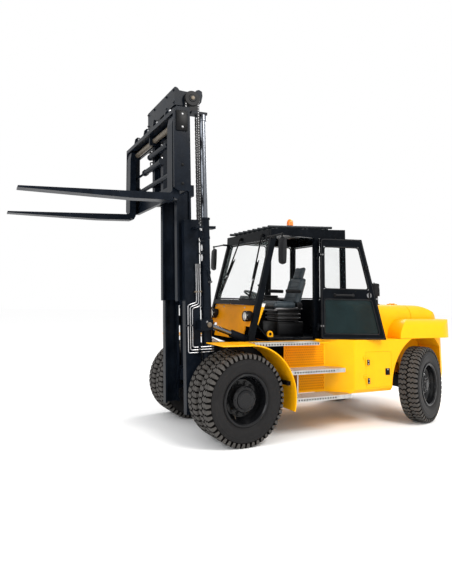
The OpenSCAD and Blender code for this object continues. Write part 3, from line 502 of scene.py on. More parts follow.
for s, word in ((1, "left"), (-1, "right")):
    p = Piece("rubber", "tread", "groove")
    tyre(p, wheel_frame("front", s))
    tyre(p, wheel_frame("front", s) @ Matrix.Translation((0, -s * 0.355, 0)))
    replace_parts(p.done("twin_tyres_" + word, "front_%s_wheels" % word), "front_%s_tyres" % word)
    p = Piece("rubber", "tread", "groove")
    tyre(p, wheel_frame("rear", s))
    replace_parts(p.done("steer_tyre_" + word, "rear_%s_wheel" % word), "rear_%s_tyre" % word)
    # Hub's radius, face of the wheel disc, nuts, radius of their circle, material
    for kind, body, hub_r, disc, bolts, ring, nut in (
            ("front", "front_%s_wheels" % word, 0.163, -0.03, 12, 0.191, 0),
            ("rear", "rear_%s_wheel" % word, 0.12, 0.01, 10, 0.155, 1)):
        p = Piece("rim", "zinc", "brass", frame=wheel_frame(kind, s))
        out = (0, s, 0)
        # Lock ring on the flange, wheel nuts, cap screws, valve
        p.turned([(0.2945, 0.149), (0.3085, 0.15), (0.3125, 0.147), (0.312, 0.138), (0.2945, 0.138),
                  (0.2945, 0.149)], axis=out, seg=72)
        for x, z in around(bolts, ring, math.pi / bolts):
            p.rod((x, s * disc, z), (x, s * (disc + 0.03), z), 0.011, 10, nut)
            p.bolt((x, s * (disc + 0.002), z), out, 0.019, nut)
        for x, z in around(8, hub_r - 0.022):
            p.bolt((x, s * 0.094, z), out, 0.009)
        c, n = math.cos(VALVE), math.sin(VALVE)
        stem = [(r * c, s * (disc + y), r * n) for r, y in ((0.215, 0.005), (0.225, 0.06), (0.25, 0.11))]
        p.tube(stem, 0.007, 8, 2, bend=0.02)
        p.done("%s_wheel_fittings_%s" % (kind, word), body)


# Mast

# Chains: sheave's place forward and up the mast, radius of the chain over it, distance from the middle
LIFT_SHEAVE = (0.0, 4.28, 0.085, 0.2)
HOSE_SHEAVE = (0.175, 4.24, 0.096, 0.69)
# Lift barrel: forward and left
BARREL_U, BARREL_Y = -0.092, 0.435


def link_outline(pitch, r):
    """Outline of a chain plate: two half rounds, a pitch apart."""
    bend = around(12, r)
    return [(x, y + pitch) for x, y in bend[:7]] + bend[6:] + bend[:1]


def leaf_chain(name, u, w0, w1, y=0.2, wide=1.0, solid=None):
    """Two runs of leaf chain from one stage up to the next, built in place and tied to no stage."""
    p = Piece("chain", "steel", frame=MAST_FRAME)
    start = w0 + 0.015
    run = w1 - w0 - 0.03
    n = max(2, round(run / 0.038))
    pitch = run / n
    out = link_outline(pitch, 0.0155)
    for s in (-1, 1):
        for k in range(n):
            for dy in ((-0.0155, 0.0, 0.0155) if k % 2 else (-0.008, 0.008)):
                at = (u, s * y + (dy + 0.0032) * wide, start + k * pitch)
                p.plate(out, 0.0064 * wide, MAST_FRAME @ Matrix.Translation(at) @ UPRIGHT)
        for k in range(n + 1):
            w = start + k * pitch
            p.rod((u, s * y - 0.0195 * wide, w), (u, s * y + 0.0195 * wide, w), 0.0075, 8, 1)
    o = p.done(name, None)
    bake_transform(o)
    if solid:
        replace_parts(o, solid)


leaf_chain("lift_chain_back", -0.085, 2.43, 4.28, solid="chains_rear")
leaf_chain("lift_chain_front", 0.085, 3.26, 4.28, solid="chains_front")
leaf_chain("hose_chain_back", 0.079, 2.37, 4.24, 0.69, 0.4)
leaf_chain("hose_chain_front", 0.271, 3.72, 4.24, 0.69, 0.4)

# Chain over the sheaves, caps of the sheave pins, bolts of the crosshead
p = Piece("chain", "brass", "black", frame=MAST_FRAME)
for s in (-1, 1):
    for (u, w, r, y), n, size, bevel in ((LIFT_SHEAVE, 8, (0.014, 0.017, 0.017), 0.004),
                                         (HOSE_SHEAVE, 10, (0.013, 0.007, 0.015), 0.003)):
        for i in range(n + 1):
            a = math.pi * i / n
            at = Matrix.Translation((u + r * math.cos(a), s * y, w + r * math.sin(a)))
            p.block([-d for d in size], size, bevel, 0, MAST_FRAME @ at @ Matrix.Rotation(-a, 4, "Y"))
    p.cap(0.03, 0.012, 0.018, 0.016, (HOSE_SHEAVE[0], s * 0.7265, HOSE_SHEAVE[1]), (0, s, 0), 24, 1)
    for w in (4.17, 4.36):
        for y in (0.3, 0.62):
            p.bolt((0.4305, s * y, w), (1, 0, 0), 0.014, 2)
p.done("crosshead_fittings", "inner_mast", "steel")

# Pipes, clamps and fittings on the outer mast and its lift barrels
p = Piece("zinc", "black", "steel", "brass", frame=MAST_FRAME)
for u0, w1, u1, w2 in ((0.088, 1.315, 0.216, 0.652), (0.06, 1.29, 0.184, 0.686),
                       (0.03, 1.265, 0.152, 0.72)):
    p.tube([(u0, 0.52, 1.8), (u0, 0.52, w1), (u1, 0.52, w1 - 0.03), (u1, 0.52, w2),
            (-0.155, 0.524, w2 - 0.012)], 0.0065, 10, bend=0.03)
    p.rod((u0, 0.52, 1.785), (u0, 0.52, 1.845), 0.012, 6, 2)
    p.rod((-0.157, 0.524, w2 - 0.012), (-0.122, 0.524, w2 - 0.012), 0.0095, 6, 2)
for lo, hi, mat in (((0.005, 0.485, 1.448), (0.115, 0.53, 1.47), 3),
                    ((0.13, 0.485, 1.00), (0.238, 0.53, 1.022), 1),
                    ((0.035, 0.485, 0.64), (0.075, 0.53, 0.735), 1)):
    p.block(lo, hi, 0.005, mat)
    p.bolt(((lo[0] + hi[0]) / 2, 0.532, (lo[2] + hi[2]) / 2), (0, 1, 0), 0.008, 2)
for s in (-1, 1):
    # Supply line of the lift cylinder
    line = [(0.0, s * 0.528, 2.33), (0.0, s * 0.528, 1.93), (-0.03, s * 0.53, 1.88),
            (-0.108, s * 0.54, 1.7), (-0.13, s * 0.536, 1.6)]
    p.tube(line, 0.009, 10, 1, bend=0.06)
    p.rod((0.0, s * 0.528, 2.312), (0.0, s * 0.528, 2.35), 0.014, 6)
    p.rod((-0.112, s * 0.498, 1.588), (-0.136, s * 0.552, 1.588), 0.017, 6, 2)
    for w in (2.07, 1.93):
        p.rod((0.0, s * 0.528, w - 0.03), (0.0, s * 0.528, w + 0.03), 0.017, 6)
        p.rod((0.0, s * 0.528, w - 0.045), (0.0, s * 0.528, w + 0.045), 0.012, 12)
    for w in (2.16, 1.99):
        p.block((-0.045, s * 0.485, w - 0.012), (0.045, s * 0.54, w + 0.012), 0.003, 1)
        p.bolt((0.03, s * 0.54, w), (0, s, 0), 0.008, 2)
    # Arm that anchors the hose chain
    p.block((0.03, s * 0.484, 2.335), (0.13, s * 0.716, 2.365), 0.006, 1)
    p.rod((0.079, s * 0.69, 2.3), (0.079, s * 0.69, 2.385), 0.009, 12, 2)
    p.rod((0.079, s * 0.69, 2.318), (0.079, s * 0.69, 2.334), 0.014, 6)
    # Gland ring on top of the lift barrel, and bands round it
    ring = [(0.0525, 2.484), (0.079, 2.484), (0.084, 2.489), (0.084, 2.508), (0.078, 2.513), (0.066, 2.515),
            (0.0525, 2.5155), (0.0525, 2.484)]
    p.turned(ring, (BARREL_U, s * BARREL_Y, 0), seg=36, mat=1)
    ring = [(0.0722, 0.0), (0.078, 0.003), (0.078, 0.037), (0.0722, 0.04), (0.0722, 0.0)]
    for w in (2.2, 1.7, 1.2):
        p.turned(ring, (BARREL_U, s * BARREL_Y, w), mat=1)
    # Cap and bolt over the tilt pin
    p.cap(0.034, 0.01, 0.024, 0.014, (-0.045, s * 0.651, 1.01), (0, s, 0), 24, 3)
    p.bolt((-0.01, s * 0.651, 1.05), (0, s, 0), 0.01, 2)
    # Cap of the main pivot
    p.cap(0.07, 0.01, 0.056, 0.016, (0, s * 0.485, 0), (0, s, 0), 32, 1)
    for u, w in around(6, 0.055):
        p.bolt((u, s * 0.4955, w), (0, s, 0), 0.007, 2)
p.done("mast_pipes", "outer_mast", "steel")

# Carriage hardware: bolts, pipes of the positioning cylinders, keepers of the fork shaft
p = Piece("steel", "zinc", "satin", frame=MAST_FRAME)
for s in (-1, 1):
    for w in (3.1, 2.85):
        p.bolt((0.53, s * 1.205, w), (0, s, 0), 0.013, 2)
    # Bolted keeper over the end of the fork shaft
    p.block((0.455, s * 1.2045, 3.56), (0.615, s * 1.224, 3.84), 0.008, 2)
    for w in (3.79, 3.61):
        p.bolt((0.53, s * 1.224, w), (0, s, 0), 0.011)
    for w in (3.55, 3.36):
        p.rod((0.499, s * 0.28, w + 0.04), (0.499, s * 0.28, w + 0.066), 0.012, 6, 1)
    p.block((0.25, s * 0.668, 3.722), (0.4165, s * 0.712, 3.752), 0.006)
    p.rod((0.271, s * 0.69, 3.69), (0.271, s * 0.69, 3.765), 0.008, 12, 1)
# Pipes that join the ports of the two sides
for w in (3.55, 3.36):
    run = [(0.499, 0.28, w + 0.06), (0.505, 0.285, w + 0.11), (0.48, 0.24, w + 0.1),
           (0.47, 0.1, w + 0.02)]
    back = [(u, -y, v) for u, y, v in reversed(run)]
    p.tube(run + [(0.462, 0.0, w - 0.02)] + back, 0.009, 10, 2, bend=0.05)
for y in (-0.83, -0.3, 0.15, 0.72):
    for e in (-1, 1):
        p.cap(0.024, 0.006, 0.014, 0.01, (0.545, y + e * 0.07, 3.966), (0, e, 0), 20, 1)
p.done("carriage_fittings", "carriage", "steel")


# Cab

CAB = Matrix.Translation((SHIFT, 0, 0))
CAB_FLOOR = 1.2645
DOOR_HINGE = (-1.375, 0.814)
DOOR = (Matrix.Translation(axle(*DOOR_HINGE, 0)) @ Matrix.Rotation(math.radians(160), 4, "Z")
        @ Matrix.Translation((-DOOR_HINGE[0], -DOOR_HINGE[1], 0)))


def pillar(z):
    """Front edge of the cab's side at a height."""
    return -0.222 - 0.344 * (z - 1.24) / 1.48


def bead(p, corners, r, mat=0, frame=None, bend=0.03):
    """Bead that runs once round the corners."""
    start = (Vector(corners[0]) + Vector(corners[-1])) / 2
    p.tube([start, *corners, start], r, 8, mat, frame, bend)


def screen(y, z, off=0.0):
    """Point on the windscreen, moved off its outer face."""
    return Vector((pillar(z) - 0.03 + off * 0.974, y, z + off * 0.226))


# Window rubbers and ribbed floor mat
p = Piece("plastic", frame=CAB)
front = ((-0.69, 1.815), (-0.69, 2.685), (0.69, 2.685), (0.69, 1.815))
bead(p, [screen(y, z) for y, z in front], 0.011, bend=0.05)
back = ((-0.69, 1.845), (-0.69, 2.745), (0.69, 2.745), (0.69, 1.845))
bead(p, [(-1.93, y, z) for y, z in back], 0.01, bend=0.05)
side = ((-1.447, 1.842), (-1.447, 2.758), (-1.868, 2.758), (-1.868, 1.842))
for s in (-1, 1):
    bead(p, [(x, s * 0.742, z) for x, z in side], 0.01, bend=0.05)
right = ((pillar(1.265) - 0.105, 1.265), (pillar(2.756) - 0.105, 2.756), (-1.338, 2.756), (-1.338, 1.265))
bead(p, [(x, -0.742, z) for x, z in right], 0.01, bend=0.05)
p.block((-1.02, -0.69, CAB_FLOOR), (-0.62, 0.69, 1.274), 0.003)
for k in range(9):
    p.block((-1.0 + k * 0.042, -0.66, 1.2735), (-0.982 + k * 0.042, 0.66, 1.277), 0.001)
p.done("window_rubbers", "chassis", "plastic", 50)

# Wipers hung from the header
p = Piece("satin", "plastic", "zinc", frame=CAB)
for y0, y1, y2, z1, z2 in ((-0.215, -0.345, -0.555, 2.42, 1.93), (0.509, 0.5, 0.483, 2.36, 1.83)):
    hub = Vector((-0.5485, y0, 2.775))
    p.cap(0.026, 0.026, 0.016, 0.036, hub - Vector((0.014, 0, 0)), (1, 0, 0), 20)
    joint = screen((y1 + y2) / 2, (z1 + z2) / 2, 0.04)
    elbow = hub + Vector((0.018, (y1 - y0) * 0.25, -0.08))
    p.tube([hub + Vector((0.014, 0, 0)), elbow, joint], 0.012, 8, bend=0.03)
    p.block(joint - Vector((0.012, 0.01, 0.016)), joint + Vector((0.008, 0.01, 0.016)), 0.003, 2)
    p.tube([screen(y1, z1, 0.027), joint - Vector((0.01, 0, 0)), screen(y2, z2, 0.027)], 0.01, 8)
    p.tube([screen(y1, z1 + 0.03, 0.011), screen(y2, z2 - 0.03, 0.011)], 0.008, 6, 1)
p.done("wipers", "chassis", "satin")

# Mirrors with a shell, rim and glass, on an arm: place of the shell's middle
MIRROR_X, MIRROR_Y, MIRROR_Z, ARM_Z = -0.5, 1.18, 2.495, 2.722
p = Piece("plastic", "mirror", "satin")
for s in (-1, 1):
    bm = bmesh.new()
    rings = []
    for k, d in ((0.5, 0.024), (0.8, 0.016), (0.96, 0.0), (1.0, -0.018), (0.985, -0.024)):
        ring = []
        for c, n in around(48):
            m = max(abs(c), abs(n)) ** 0.72
            y, z = MIRROR_Y + k * 0.092 * c / m, MIRROR_Z + k * 0.195 * n / m
            ring.append(bm.verts.new(axle(MIRROR_X + d, s * y, z)))
        rings.append(ring)
    skin(bm, rings)
    bm.faces.new(rings[0])
    inner = []
    for v in rings[-1]:
        x, y, z = v.co
        inner.append(bm.verts.new((x + 0.004, y + (s * MIRROR_Y - y) * 0.08, z + (MIRROR_Z - z) * 0.06)))
    skin(bm, [rings[-1], inner])
    glass = [v.co.copy() for v in inner]
    bmesh.ops.recalc_face_normals(bm, faces=bm.faces)
    p._merge(bm)
    bm = bmesh.new()
    bm.faces.new([bm.verts.new(v) for v in glass])
    p._merge(bm, None, 1)
    arm = ((0.778, ARM_Z), (MIRROR_Y, ARM_Z), (MIRROR_Y, 2.67))
    p.tube([axle(MIRROR_X, s * y, z) for y, z in arm], 0.012, 14, 2, None, 0.03)
    p.rod(axle(MIRROR_X, s * 1.165, ARM_Z), axle(MIRROR_X, s * 1.195, ARM_Z), 0.018, 14, 2)
    p.block(axle(-0.625, s * 0.7643, 2.706), axle(-0.488, s * 0.778, 2.738), 0.004, 2)
    for x in (-0.605, -0.56):
        p.bolt(axle(x, s * 0.778, ARM_Z), (0, s, 0), 0.008, 2)
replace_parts(p.done("mirror_set", "chassis", "plastic"), "mirrors")

# Door hardware, seals and glazing beads
p = Piece("satin", "plastic", "steel", frame=DOOR)
edge = [(pillar(1.275) - 0.118, 1.275), (pillar(2.747) - 0.118, 2.747), (-1.327, 2.747), (-1.327, 1.275)]
bead(p, [(x, 0.7705, z) for x, z in edge], 0.0085, 1, bend=0.04)
for z0, z1 in ((1.33, 1.85), (1.99, 2.64)):
    pane = [(pillar(z0) - 0.176, z0 + 0.006), (pillar(z1) - 0.176, z1 - 0.006), (-1.284, z1 - 0.006),
            (-1.284, z0 + 0.006)]
    for y in (0.7745, 0.8115):
        bead(p, [(x, y, z) for x, z in pane], 0.009, 1, bend=0.05)
handle = [(-1.122, 0.773, 1.905), (-1.122, 0.733, 1.905), (-0.835, 0.733, 1.905), (-0.835, 0.773, 1.905)]
p.tube(handle, 0.017, 14, 1, bend=0.022)
for x in (-1.122, -0.835):
    p.cap(0.026, 0.005, 0.018, 0.009, (x, 0.772, 1.905), (0, -1, 0), 20)
lock = [(0.0, 0.0), (0.038, 0.0), (0.038, 0.01), (0.03, 0.016), (0.0, 0.018)]
p.turned(lock, (-0.577, 0.772, 1.91), (0, -1, 0), 28, 2)
p.block((-0.59, 0.744, 1.865), (-0.564, 0.756, 1.955), 0.005)
p.block((-0.64, 0.74, 2.295), (-0.585, 0.772, 2.36), 0.006)
p.block((-0.74, 0.814, 1.885), (-0.58, 0.826, 1.945), 0.006)
pull = [(-0.72, 0.824, 1.915), (-0.72, 0.844, 1.915), (-0.61, 0.844, 1.915), (-0.61, 0.824, 1.915)]
p.tube(pull, 0.009, 12, bend=0.015)
for z in (1.44, 2.5):
    for x in (-1.345, -1.315):
        p.bolt((x, 0.8045, z + 0.01), (0, 1, 0), 0.008, 2)
        p.bolt((x + 0.01, 0.772, z + 0.01), (0, -1, 0), 0.008, 2)
p.done("door_fittings", "cab_door", "satin")

# Steering wheel and column: horn, spinner knob, rubber boot, dash and stalks
COLUMN = Matrix.Translation(axle(-0.48, 0, 1.28)) @ Matrix.Rotation(math.radians(-22), 4, "Y")
p = Piece("plastic", "satin", "zinc", "yellow", "lens", "hose", frame=COLUMN)
horn = [(0.0, 0.625), (0.05, 0.625), (0.058, 0.64), (0.048, 0.66), (0.02, 0.668), (0.0, 0.669)]
p.turned(horn)
knob = [(0.0, 0.0), (0.01, 0.0), (0.01, 0.026), (0.022, 0.034), (0.026, 0.05), (0.018, 0.068),
        (0.0, 0.072)]
p.turned(knob, (-0.17, 0.0, 0.654), seg=20)
boot = [(0.0555, 0.1), (0.095, 0.1), (0.09, 0.13), (0.098, 0.145), (0.082, 0.165), (0.086, 0.18),
        (0.07, 0.2), (0.0555, 0.21), (0.0555, 0.1)]
p.turned(boot, seg=28, mat=5)
p.block((-0.02, -0.17, 0.46), (0.16, 0.17, 0.575), 0.02)
p.block((-0.026, -0.13, 0.478), (-0.018, 0.13, 0.56), 0.003, 4)
for s in (-1, 1):
    end = (-0.03, s * 0.19, 0.602)
    p.tube([(0.0, s * 0.05, 0.585), (-0.01, s * 0.12, 0.592), end], 0.006, 8, 1, bend=0.03)
    p.turned([(0.0, 0.0), (0.011, 0.002), (0.012, 0.022), (0.0, 0.026)], end, (-0.1, s, 0.05), 12)
# Pedals
p.frame = CAB
for y0, y1 in ((-0.3, -0.19), (-0.14, -0.05), (0.14, 0.25)):
    p.block((-0.585, y0, 1.36), (-0.56, y1, 1.475), 0.006)
    y = (y0 + y1) / 2
    p.tube([(-0.545, y, 1.42), (-0.48, y, 1.4), (-0.44, y, 1.43)], 0.01, 8, 1, bend=0.02)
# Lever console on the driver's right
p.block((-1.38, -0.46, CAB_FLOOR), (-0.98, -0.31, 1.86), 0.03)
p.block((-1.36, -0.45, 1.855), (-1.00, -0.32, 1.885), 0.014)
boot = [(0.013, 0.0), (0.016, 0.01), (0.01, 0.022), (0.012, 0.034), (0.006, 0.046)]
knob = [(0.0, 0.0), (0.009, 0.004), (0.013, 0.022), (0.01, 0.036), (0.0, 0.04)]
for k in range(4):
    x, y = -1.06, -0.425 + k * 0.027
    p.turned(boot, (x, y, 1.88), seg=14, mat=5)
    p.tube([(x, y, 1.9), (x + 0.01, y, 1.96), (x + 0.035, y, 2.03)], 0.005, 8, 2, bend=0.03)
    p.turned(knob, (x + 0.033, y, 2.025), (0.4, 0, 1), 14)
# Duct behind the left pillar with a pale cap, and a lug on the floor
duct = CAB @ Matrix.Translation((0, 0.61, 0)) @ UPRIGHT
p.plate([(-0.385, 1.47), (-0.425, 1.715), (-0.56, 1.705), (-0.45, 1.425)], 0.03, duct, 3, 0.004)
p.plate([(-0.425, 1.715), (-0.435, 1.765), (-0.58, 1.755), (-0.56, 1.705)], 0.03, duct, 4, 0.004)
lug = [(-0.765, CAB_FLOOR), (-0.655, CAB_FLOOR)]
lug += [(-0.71 + x, 1.315 + z) for x, z in around(16, 0.05)[:9]]
p.plate(lug, 0.03, CAB @ Matrix.Translation((0, 0.53, 0)) @ UPRIGHT, 3, 0.003)
p.turned([(0.0, 0.0), (0.022, 0.0), (0.022, 0.004), (0.0, 0.005)], (-0.71, 0.53, 1.318), (0, 1, 0), 20, 1)
p.done("cab_controls", "chassis", "plastic")


# Seat

RECLINE = math.radians(18.2)
BACK = Matrix.Translation(axle(-1.408, 0, 1.72)) @ Matrix.Rotation(-RECLINE, 4, "Y")
HEAD = Matrix.Translation(axle(-1.564, 0, 2.212)) @ Matrix.Rotation(math.radians(-19), 4, "Y")

# Seat box, bellows, runners, recliner covers, posts of the headrest, armrests, slide bar
p = Piece("satin", "hose", "steel", "plastic", frame=CAB)
p.block((-1.5, -0.24, CAB_FLOOR), (-1.01, 0.24, 1.478), 0.012)
p.block((-1.47, -0.2405, 1.3), (-1.04, 0.2415, 1.45), 0.004, 3)
for k in range(6):
    z = 1.482 + k * 0.031
    w = 0.0 if k % 2 else 0.022
    p.block((-1.478 + w, -0.198 + w, z), (-1.032 - w, 0.198 - w, z + 0.034), 0.014, 1, seg=3)
p.block((-1.485, -0.205, 1.66), (-1.025, 0.205, 1.694), 0.008)
for s in (-1, 1):
    p.block((-1.49, s * 0.215 - 0.012, 1.664), (-0.98, s * 0.215 + 0.012, 1.688), 0.003, 2)
    p.cap(0.052, 0.014, 0.042, 0.02, (-1.405, s * 0.2615, 1.735), (0, s, 0), 28, 3)
    p.rod((0.0, s * 0.055, 0.46), (-0.004, s * 0.055, 0.56), 0.008, 12, 2, BACK)
    level = BACK @ Matrix.Rotation(RECLINE, 4, "Y")
    p.block((-0.02, s * 0.272 - 0.024, 0.205), (0.27, s * 0.272 + 0.024, 0.262), 0.022, 3, level, 3)
p.tube([(-1.0, 0.235, 1.655), (-0.955, 0.235, 1.655), (-0.955, 0.235, 1.652), (-0.955, -0.235, 1.652),
        (-1.0, -0.235, 1.655)], 0.008, 10, 2, bend=0.03)
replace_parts(p.done("seat_base", "chassis", "satin"), "seat")


# Depth and half width of a seam in the cover, and the frames that the cover swells for
SEAM = 0.008
SWELL = 20


def settle(o):
    """Keep the result of the modifiers as the mesh."""
    me = bpy.data.meshes.new_from_object(o.evaluated_get(bpy.context.evaluated_depsgraph_get()))
    o.modifiers.clear()
    old = o.data
    o.data = me
    bpy.data.meshes.remove(old)


def cushion(name, p, seams, cap):
    """Foam pad: fuse the blocks, let the cover swell by up to cap, then pull the seams in.

    A seam gives its axis and place, the axis that its face looks along, its ends and the axis it spans.
    """
    o = p.done(name, None, "leather")
    fuse = o.modifiers.new("voxel", "REMESH")
    fuse.mode = "VOXEL"
    fuse.voxel_size = 0.0065
    settle(o)
    start = [v.co.copy() for v in o.data.vertices]
    c = o.modifiers.new("cover", "CLOTH")
    c.settings.quality = 4
    c.settings.mass = 0.3
    c.settings.tension_stiffness = 12
    c.settings.compression_stiffness = 12
    c.settings.use_pressure = True
    c.settings.uniform_pressure_force = 4
    c.settings.effector_weights.gravity = 0
    c.point_cache.frame_start = 1
    c.point_cache.frame_end = SWELL
    for k in range(1, SWELL + 1):
        bpy.context.scene.frame_set(k)
    settle(o)
    bpy.context.scene.frame_set(1)
    for v, a in zip(o.data.vertices, start):
        d = v.co - a
        if d.length > cap:
            v.co = a + d * (cap / d.length)
    inv = p.frame.inverted()
    normals = [v.normal.copy() for v in o.data.vertices]
    for v, n in zip(o.data.vertices, normals):
        q = inv @ v.co
        m = inv.to_3x3() @ n
        dip = 0.0
        for axis, at, face, low, high, span in seams:
            if m[face] > 0.2 and low <= q[span] <= high:
                depth = SEAM * math.exp(-((q[axis] - at) / SEAM) ** 2)
                dip = max(dip, depth * min(1.0, m[face] * 1.5))
        v.co -= n * dip
    sub = o.modifiers.new("smooth", "SUBSURF")
    sub.levels = sub.render_levels = 1
    settle(o)
    o.data.shade_smooth()
    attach(o, "chassis")


p = Piece("leather", frame=CAB)
p.block((-1.372, -0.195, 1.7), (-0.95, 0.195, 1.766), 0.025, seg=3)
p.block((-1.01, -0.235, 1.7), (-0.945, 0.235, 1.772), 0.03, seg=4)
for s in (-1, 1):
    p.block((-1.368, s * 0.165, 1.7), (-0.975, s * 0.242, 1.78), 0.034, seg=4)
cross = [(0, x, 2, -0.155, 0.155, 1) for x in (-1.035, -1.135, -1.235)]
cushion("seat_cushion", p, cross + [(1, y, 2, -1.36, -1.03, 0) for y in (-0.158, 0.158)], 0.016)

p = Piece("leather", frame=BACK)
p.block((-0.036, -0.165, 0.02), (0.026, 0.165, 0.47), 0.025, seg=3)
p.block((-0.036, -0.205, 0.405), (0.028, 0.205, 0.488), 0.03, seg=4)
for s in (-1, 1):
    p.block((-0.036, s * 0.135, 0.03), (0.046, s * 0.222, 0.44), 0.036, seg=4)
cross = [(2, z, 0, -0.132, 0.132, 1) for z in (0.115, 0.21, 0.305, 0.4)]
cushion("seat_back", p, cross + [(1, y, 0, 0.05, 0.4, 2) for y in (-0.136, 0.136)], 0.016)

p = Piece("leather", frame=HEAD)
p.block((-0.032, -0.128, -0.06), (0.032, 0.128, 0.15), 0.028, seg=4)
cushion("seat_headrest", p, [(2, 0.08, 0, -0.1, 0.1, 1)], 0.012)


# Body

# Lenses of a tail lamp: from and to, outward, and material
TAIL_LENSES = ((0.006, 0.058, 2), (0.061, 0.096, 1), (0.099, 0.134, 3))

# Hooded headlamps, tail lamps in three colours, beacon
p = Piece("plastic", "lens", "red", "amber", "zinc", "satin")
for s in (-1, 1):
    at = axle(-0.36, s * 0.59, 1.575)
    shell = [(0.05, 0.0), (0.068, 0.012), (0.0745, 0.035), (0.0745, 0.118), (0.07, 0.126), (0.064, 0.121)]
    p.turned(shell, at, (1, 0, 0), 40)
    p.turned([(0.064, 0.118), (0.056, 0.123), (0.03, 0.128), (0.0, 0.129)], at, (1, 0, 0), 40, 1)
    for k in (-1, 0, 1):
        half = Vector((0.0045, 0.0025, 0.06 - abs(k) * 0.012))
        bar = at + Vector((0.1265, k * 0.032, 0))
        p.block(bar - half, bar + half, 0.002, 5)
    for c, n in around(8, start=0.2):
        p.bolt(at + Vector((0.108, 0.0745 * c, 0.0745 * n)), (0, c, n), 0.004, 4)
    tail = axle(-4.092, s * 0.48, 0)
    p.block(tail + Vector((0.002, 0, 1.31)), tail + Vector((0.03, s * 0.14, 1.41)), 0.006)
    for a, b, mat in TAIL_LENSES:
        p.block(tail + Vector((-0.005, s * a, 1.318)), tail + Vector((0.008, s * b, 1.402)), 0.005, mat)
        for k in range(5):
            z = 1.326 + k * 0.015
            p.block(tail + Vector((-0.0065, s * (a + 0.004), z)),
                    tail + Vector((-0.003, s * (b - 0.004), z + 0.005)), 0.0015, mat)
top = axle(-1.12, 0.4125, 2.8908)
base = [(0.0, 0.0), (0.052, 0.0), (0.052, 0.012), (0.04, 0.016), (0.04, 0.08), (0.05, 0.086),
        (0.05, 0.096), (0.0, 0.096)]
p.turned(base, top)
dome = [(0.053, 0.094), (0.053, 0.1), (0.05, 0.104), (0.05, 0.15), (0.046, 0.172),
        (0.034, 0.19), (0.016, 0.199), (0.0, 0.2)]
p.turned(dome, top, seg=40, mat=3)
for c, n in around(20):
    foot = top + Vector((0.05 * c, 0.05 * n, 0.104))
    p.rod(foot, top + Vector((0.0485 * c, 0.0485 * n, 0.158)), 0.0022, 6, 3)
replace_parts(p.done("lamp_set", "chassis", "lens"), "lamps")


def dimples(p, x0, x1, y0, y1, z, pitch=0.044):
    """Punched studs in staggered rows on a tread."""
    y0, y1 = sorted((y0, y1))
    stud = [(0.013, -0.001), (0.0105, 0.0035), (0.006, 0.0035), (0.005, 0.0005), (0.0, 0.0003)]
    rows = int((y1 - y0) / pitch)
    for j in range(rows):
        y = y0 + (j + 0.5) * (y1 - y0) / rows
        n = int((x1 - x0) / pitch) - j % 2
        for i in range(n):
            x = (x0 + x1) / 2 + (i - (n - 1) / 2) * pitch
            p.turned(stud, axle(x, y, z), seg=10)


# Treads with punched studs, and holes along their front edges drawn as black discs, painted shade
p = Piece("tread_plate", "satin")
for s in (-1, 1):
    for x0, x1, y1, z in ((-1.46, -0.72, 1.085, 0.875), (-1.46, -0.785, 1.115, 0.525)):
        dimples(p, x0, x1, s * 0.845, s * y1, z)
        for k in range(int((x1 - x0) / 0.044)):
            at = axle(x0 + (k + 0.5) * 0.044, s * (y1 + 0.0246), z - 0.028)
            # Each hole is a flat black disc, painted shade
            p.turned([(0.0125, 0.0), (0.0125, 0.0015), (0.009, 0.0025), (0.0, 0.0025)], at, (0, s, 0), 12, 1)
    # Edge strip of the deck beside the cab
    p.block(axle(-1.17, s * 0.94, 1.2402), axle(-0.13, s * 1.132, 1.2442), 0.0015)
    dimples(p, -1.16, -0.14, s * 0.95, s * 1.12, 1.2442)
    p.block(axle(-1.17, s * 1.1302, 1.206), axle(-0.13, s * 1.1342, 1.2435), 0.0015)
    # Holes along the deck's edge, drawn as flat black discs, painted shade
    for k in range(23):
        at = axle(-1.145 + k * 0.0445, s * 1.1342, 1.224)
        p.turned([(0.0115, 0.0), (0.0115, 0.0012), (0.008, 0.002), (0.0, 0.002)], at, (0, s, 0), 12, 1)
p.done("tread_studs", "chassis", "tread_plate")

# Perforated panel behind the steps, its yellow darkened as painted shade
p = Piece("riser", "riser_hole_shade")
for s in (-1, 1):
    for z0, z1 in ((0.555, 0.835), (0.885, 1.215)):
        p.block(axle(-1.462, s * 0.8302, z0), axle(-0.775, s * 0.8332, z1), 0.001)
        for j in range(int((z1 - z0 - 0.02) / 0.034)):
            for i in range(19 - j % 2):
                x = -1.445 + (i + 0.5 * (j % 2)) * 0.0365
                at = axle(x, s * 0.8332, z0 + 0.025 + j * 0.034)
                # Each hole is a flat disc in a darker colour, painted shade
                p.turned([(0.009, 0.0), (0.009, 0.0008), (0.0, 0.001)], at, (0, s, 0), 10, 1)
p.done("perforated_riser", "chassis", "riser")


def arch(s, y, r, degrees):
    """Point on the fender's arch, back from its top, and the way out of it there."""
    a = math.radians(degrees)
    way = Vector((-math.sin(a), 0, math.cos(a)))
    return axle(-0.06, s * y, 0.54) + r * way, way


# Rolled fender edges and panel screws
p = Piece("yellow", "zinc")
for s in (-1, 1):
    rim = [arch(s, 1.187, 0.685, a)[0] for a in range(0, 105, 4)]
    p.tube([axle(0.365, s * 1.187, 1.225), *rim], 0.0085, 8)
    for a in (18, 44, 70, 92):
        p.bolt(*arch(s, 1.1, 0.691, a), 0.01, 1)
    for y in (0.665, 0.36):
        for z in (1.3, 1.69):
            p.bolt(axle(-0.262 - 0.11 * (z - 1.242) / 0.486, s * y, z), (0.975, 0, 0.22), 0.009, 1)
p.done("panel_fittings", "chassis", "yellow")

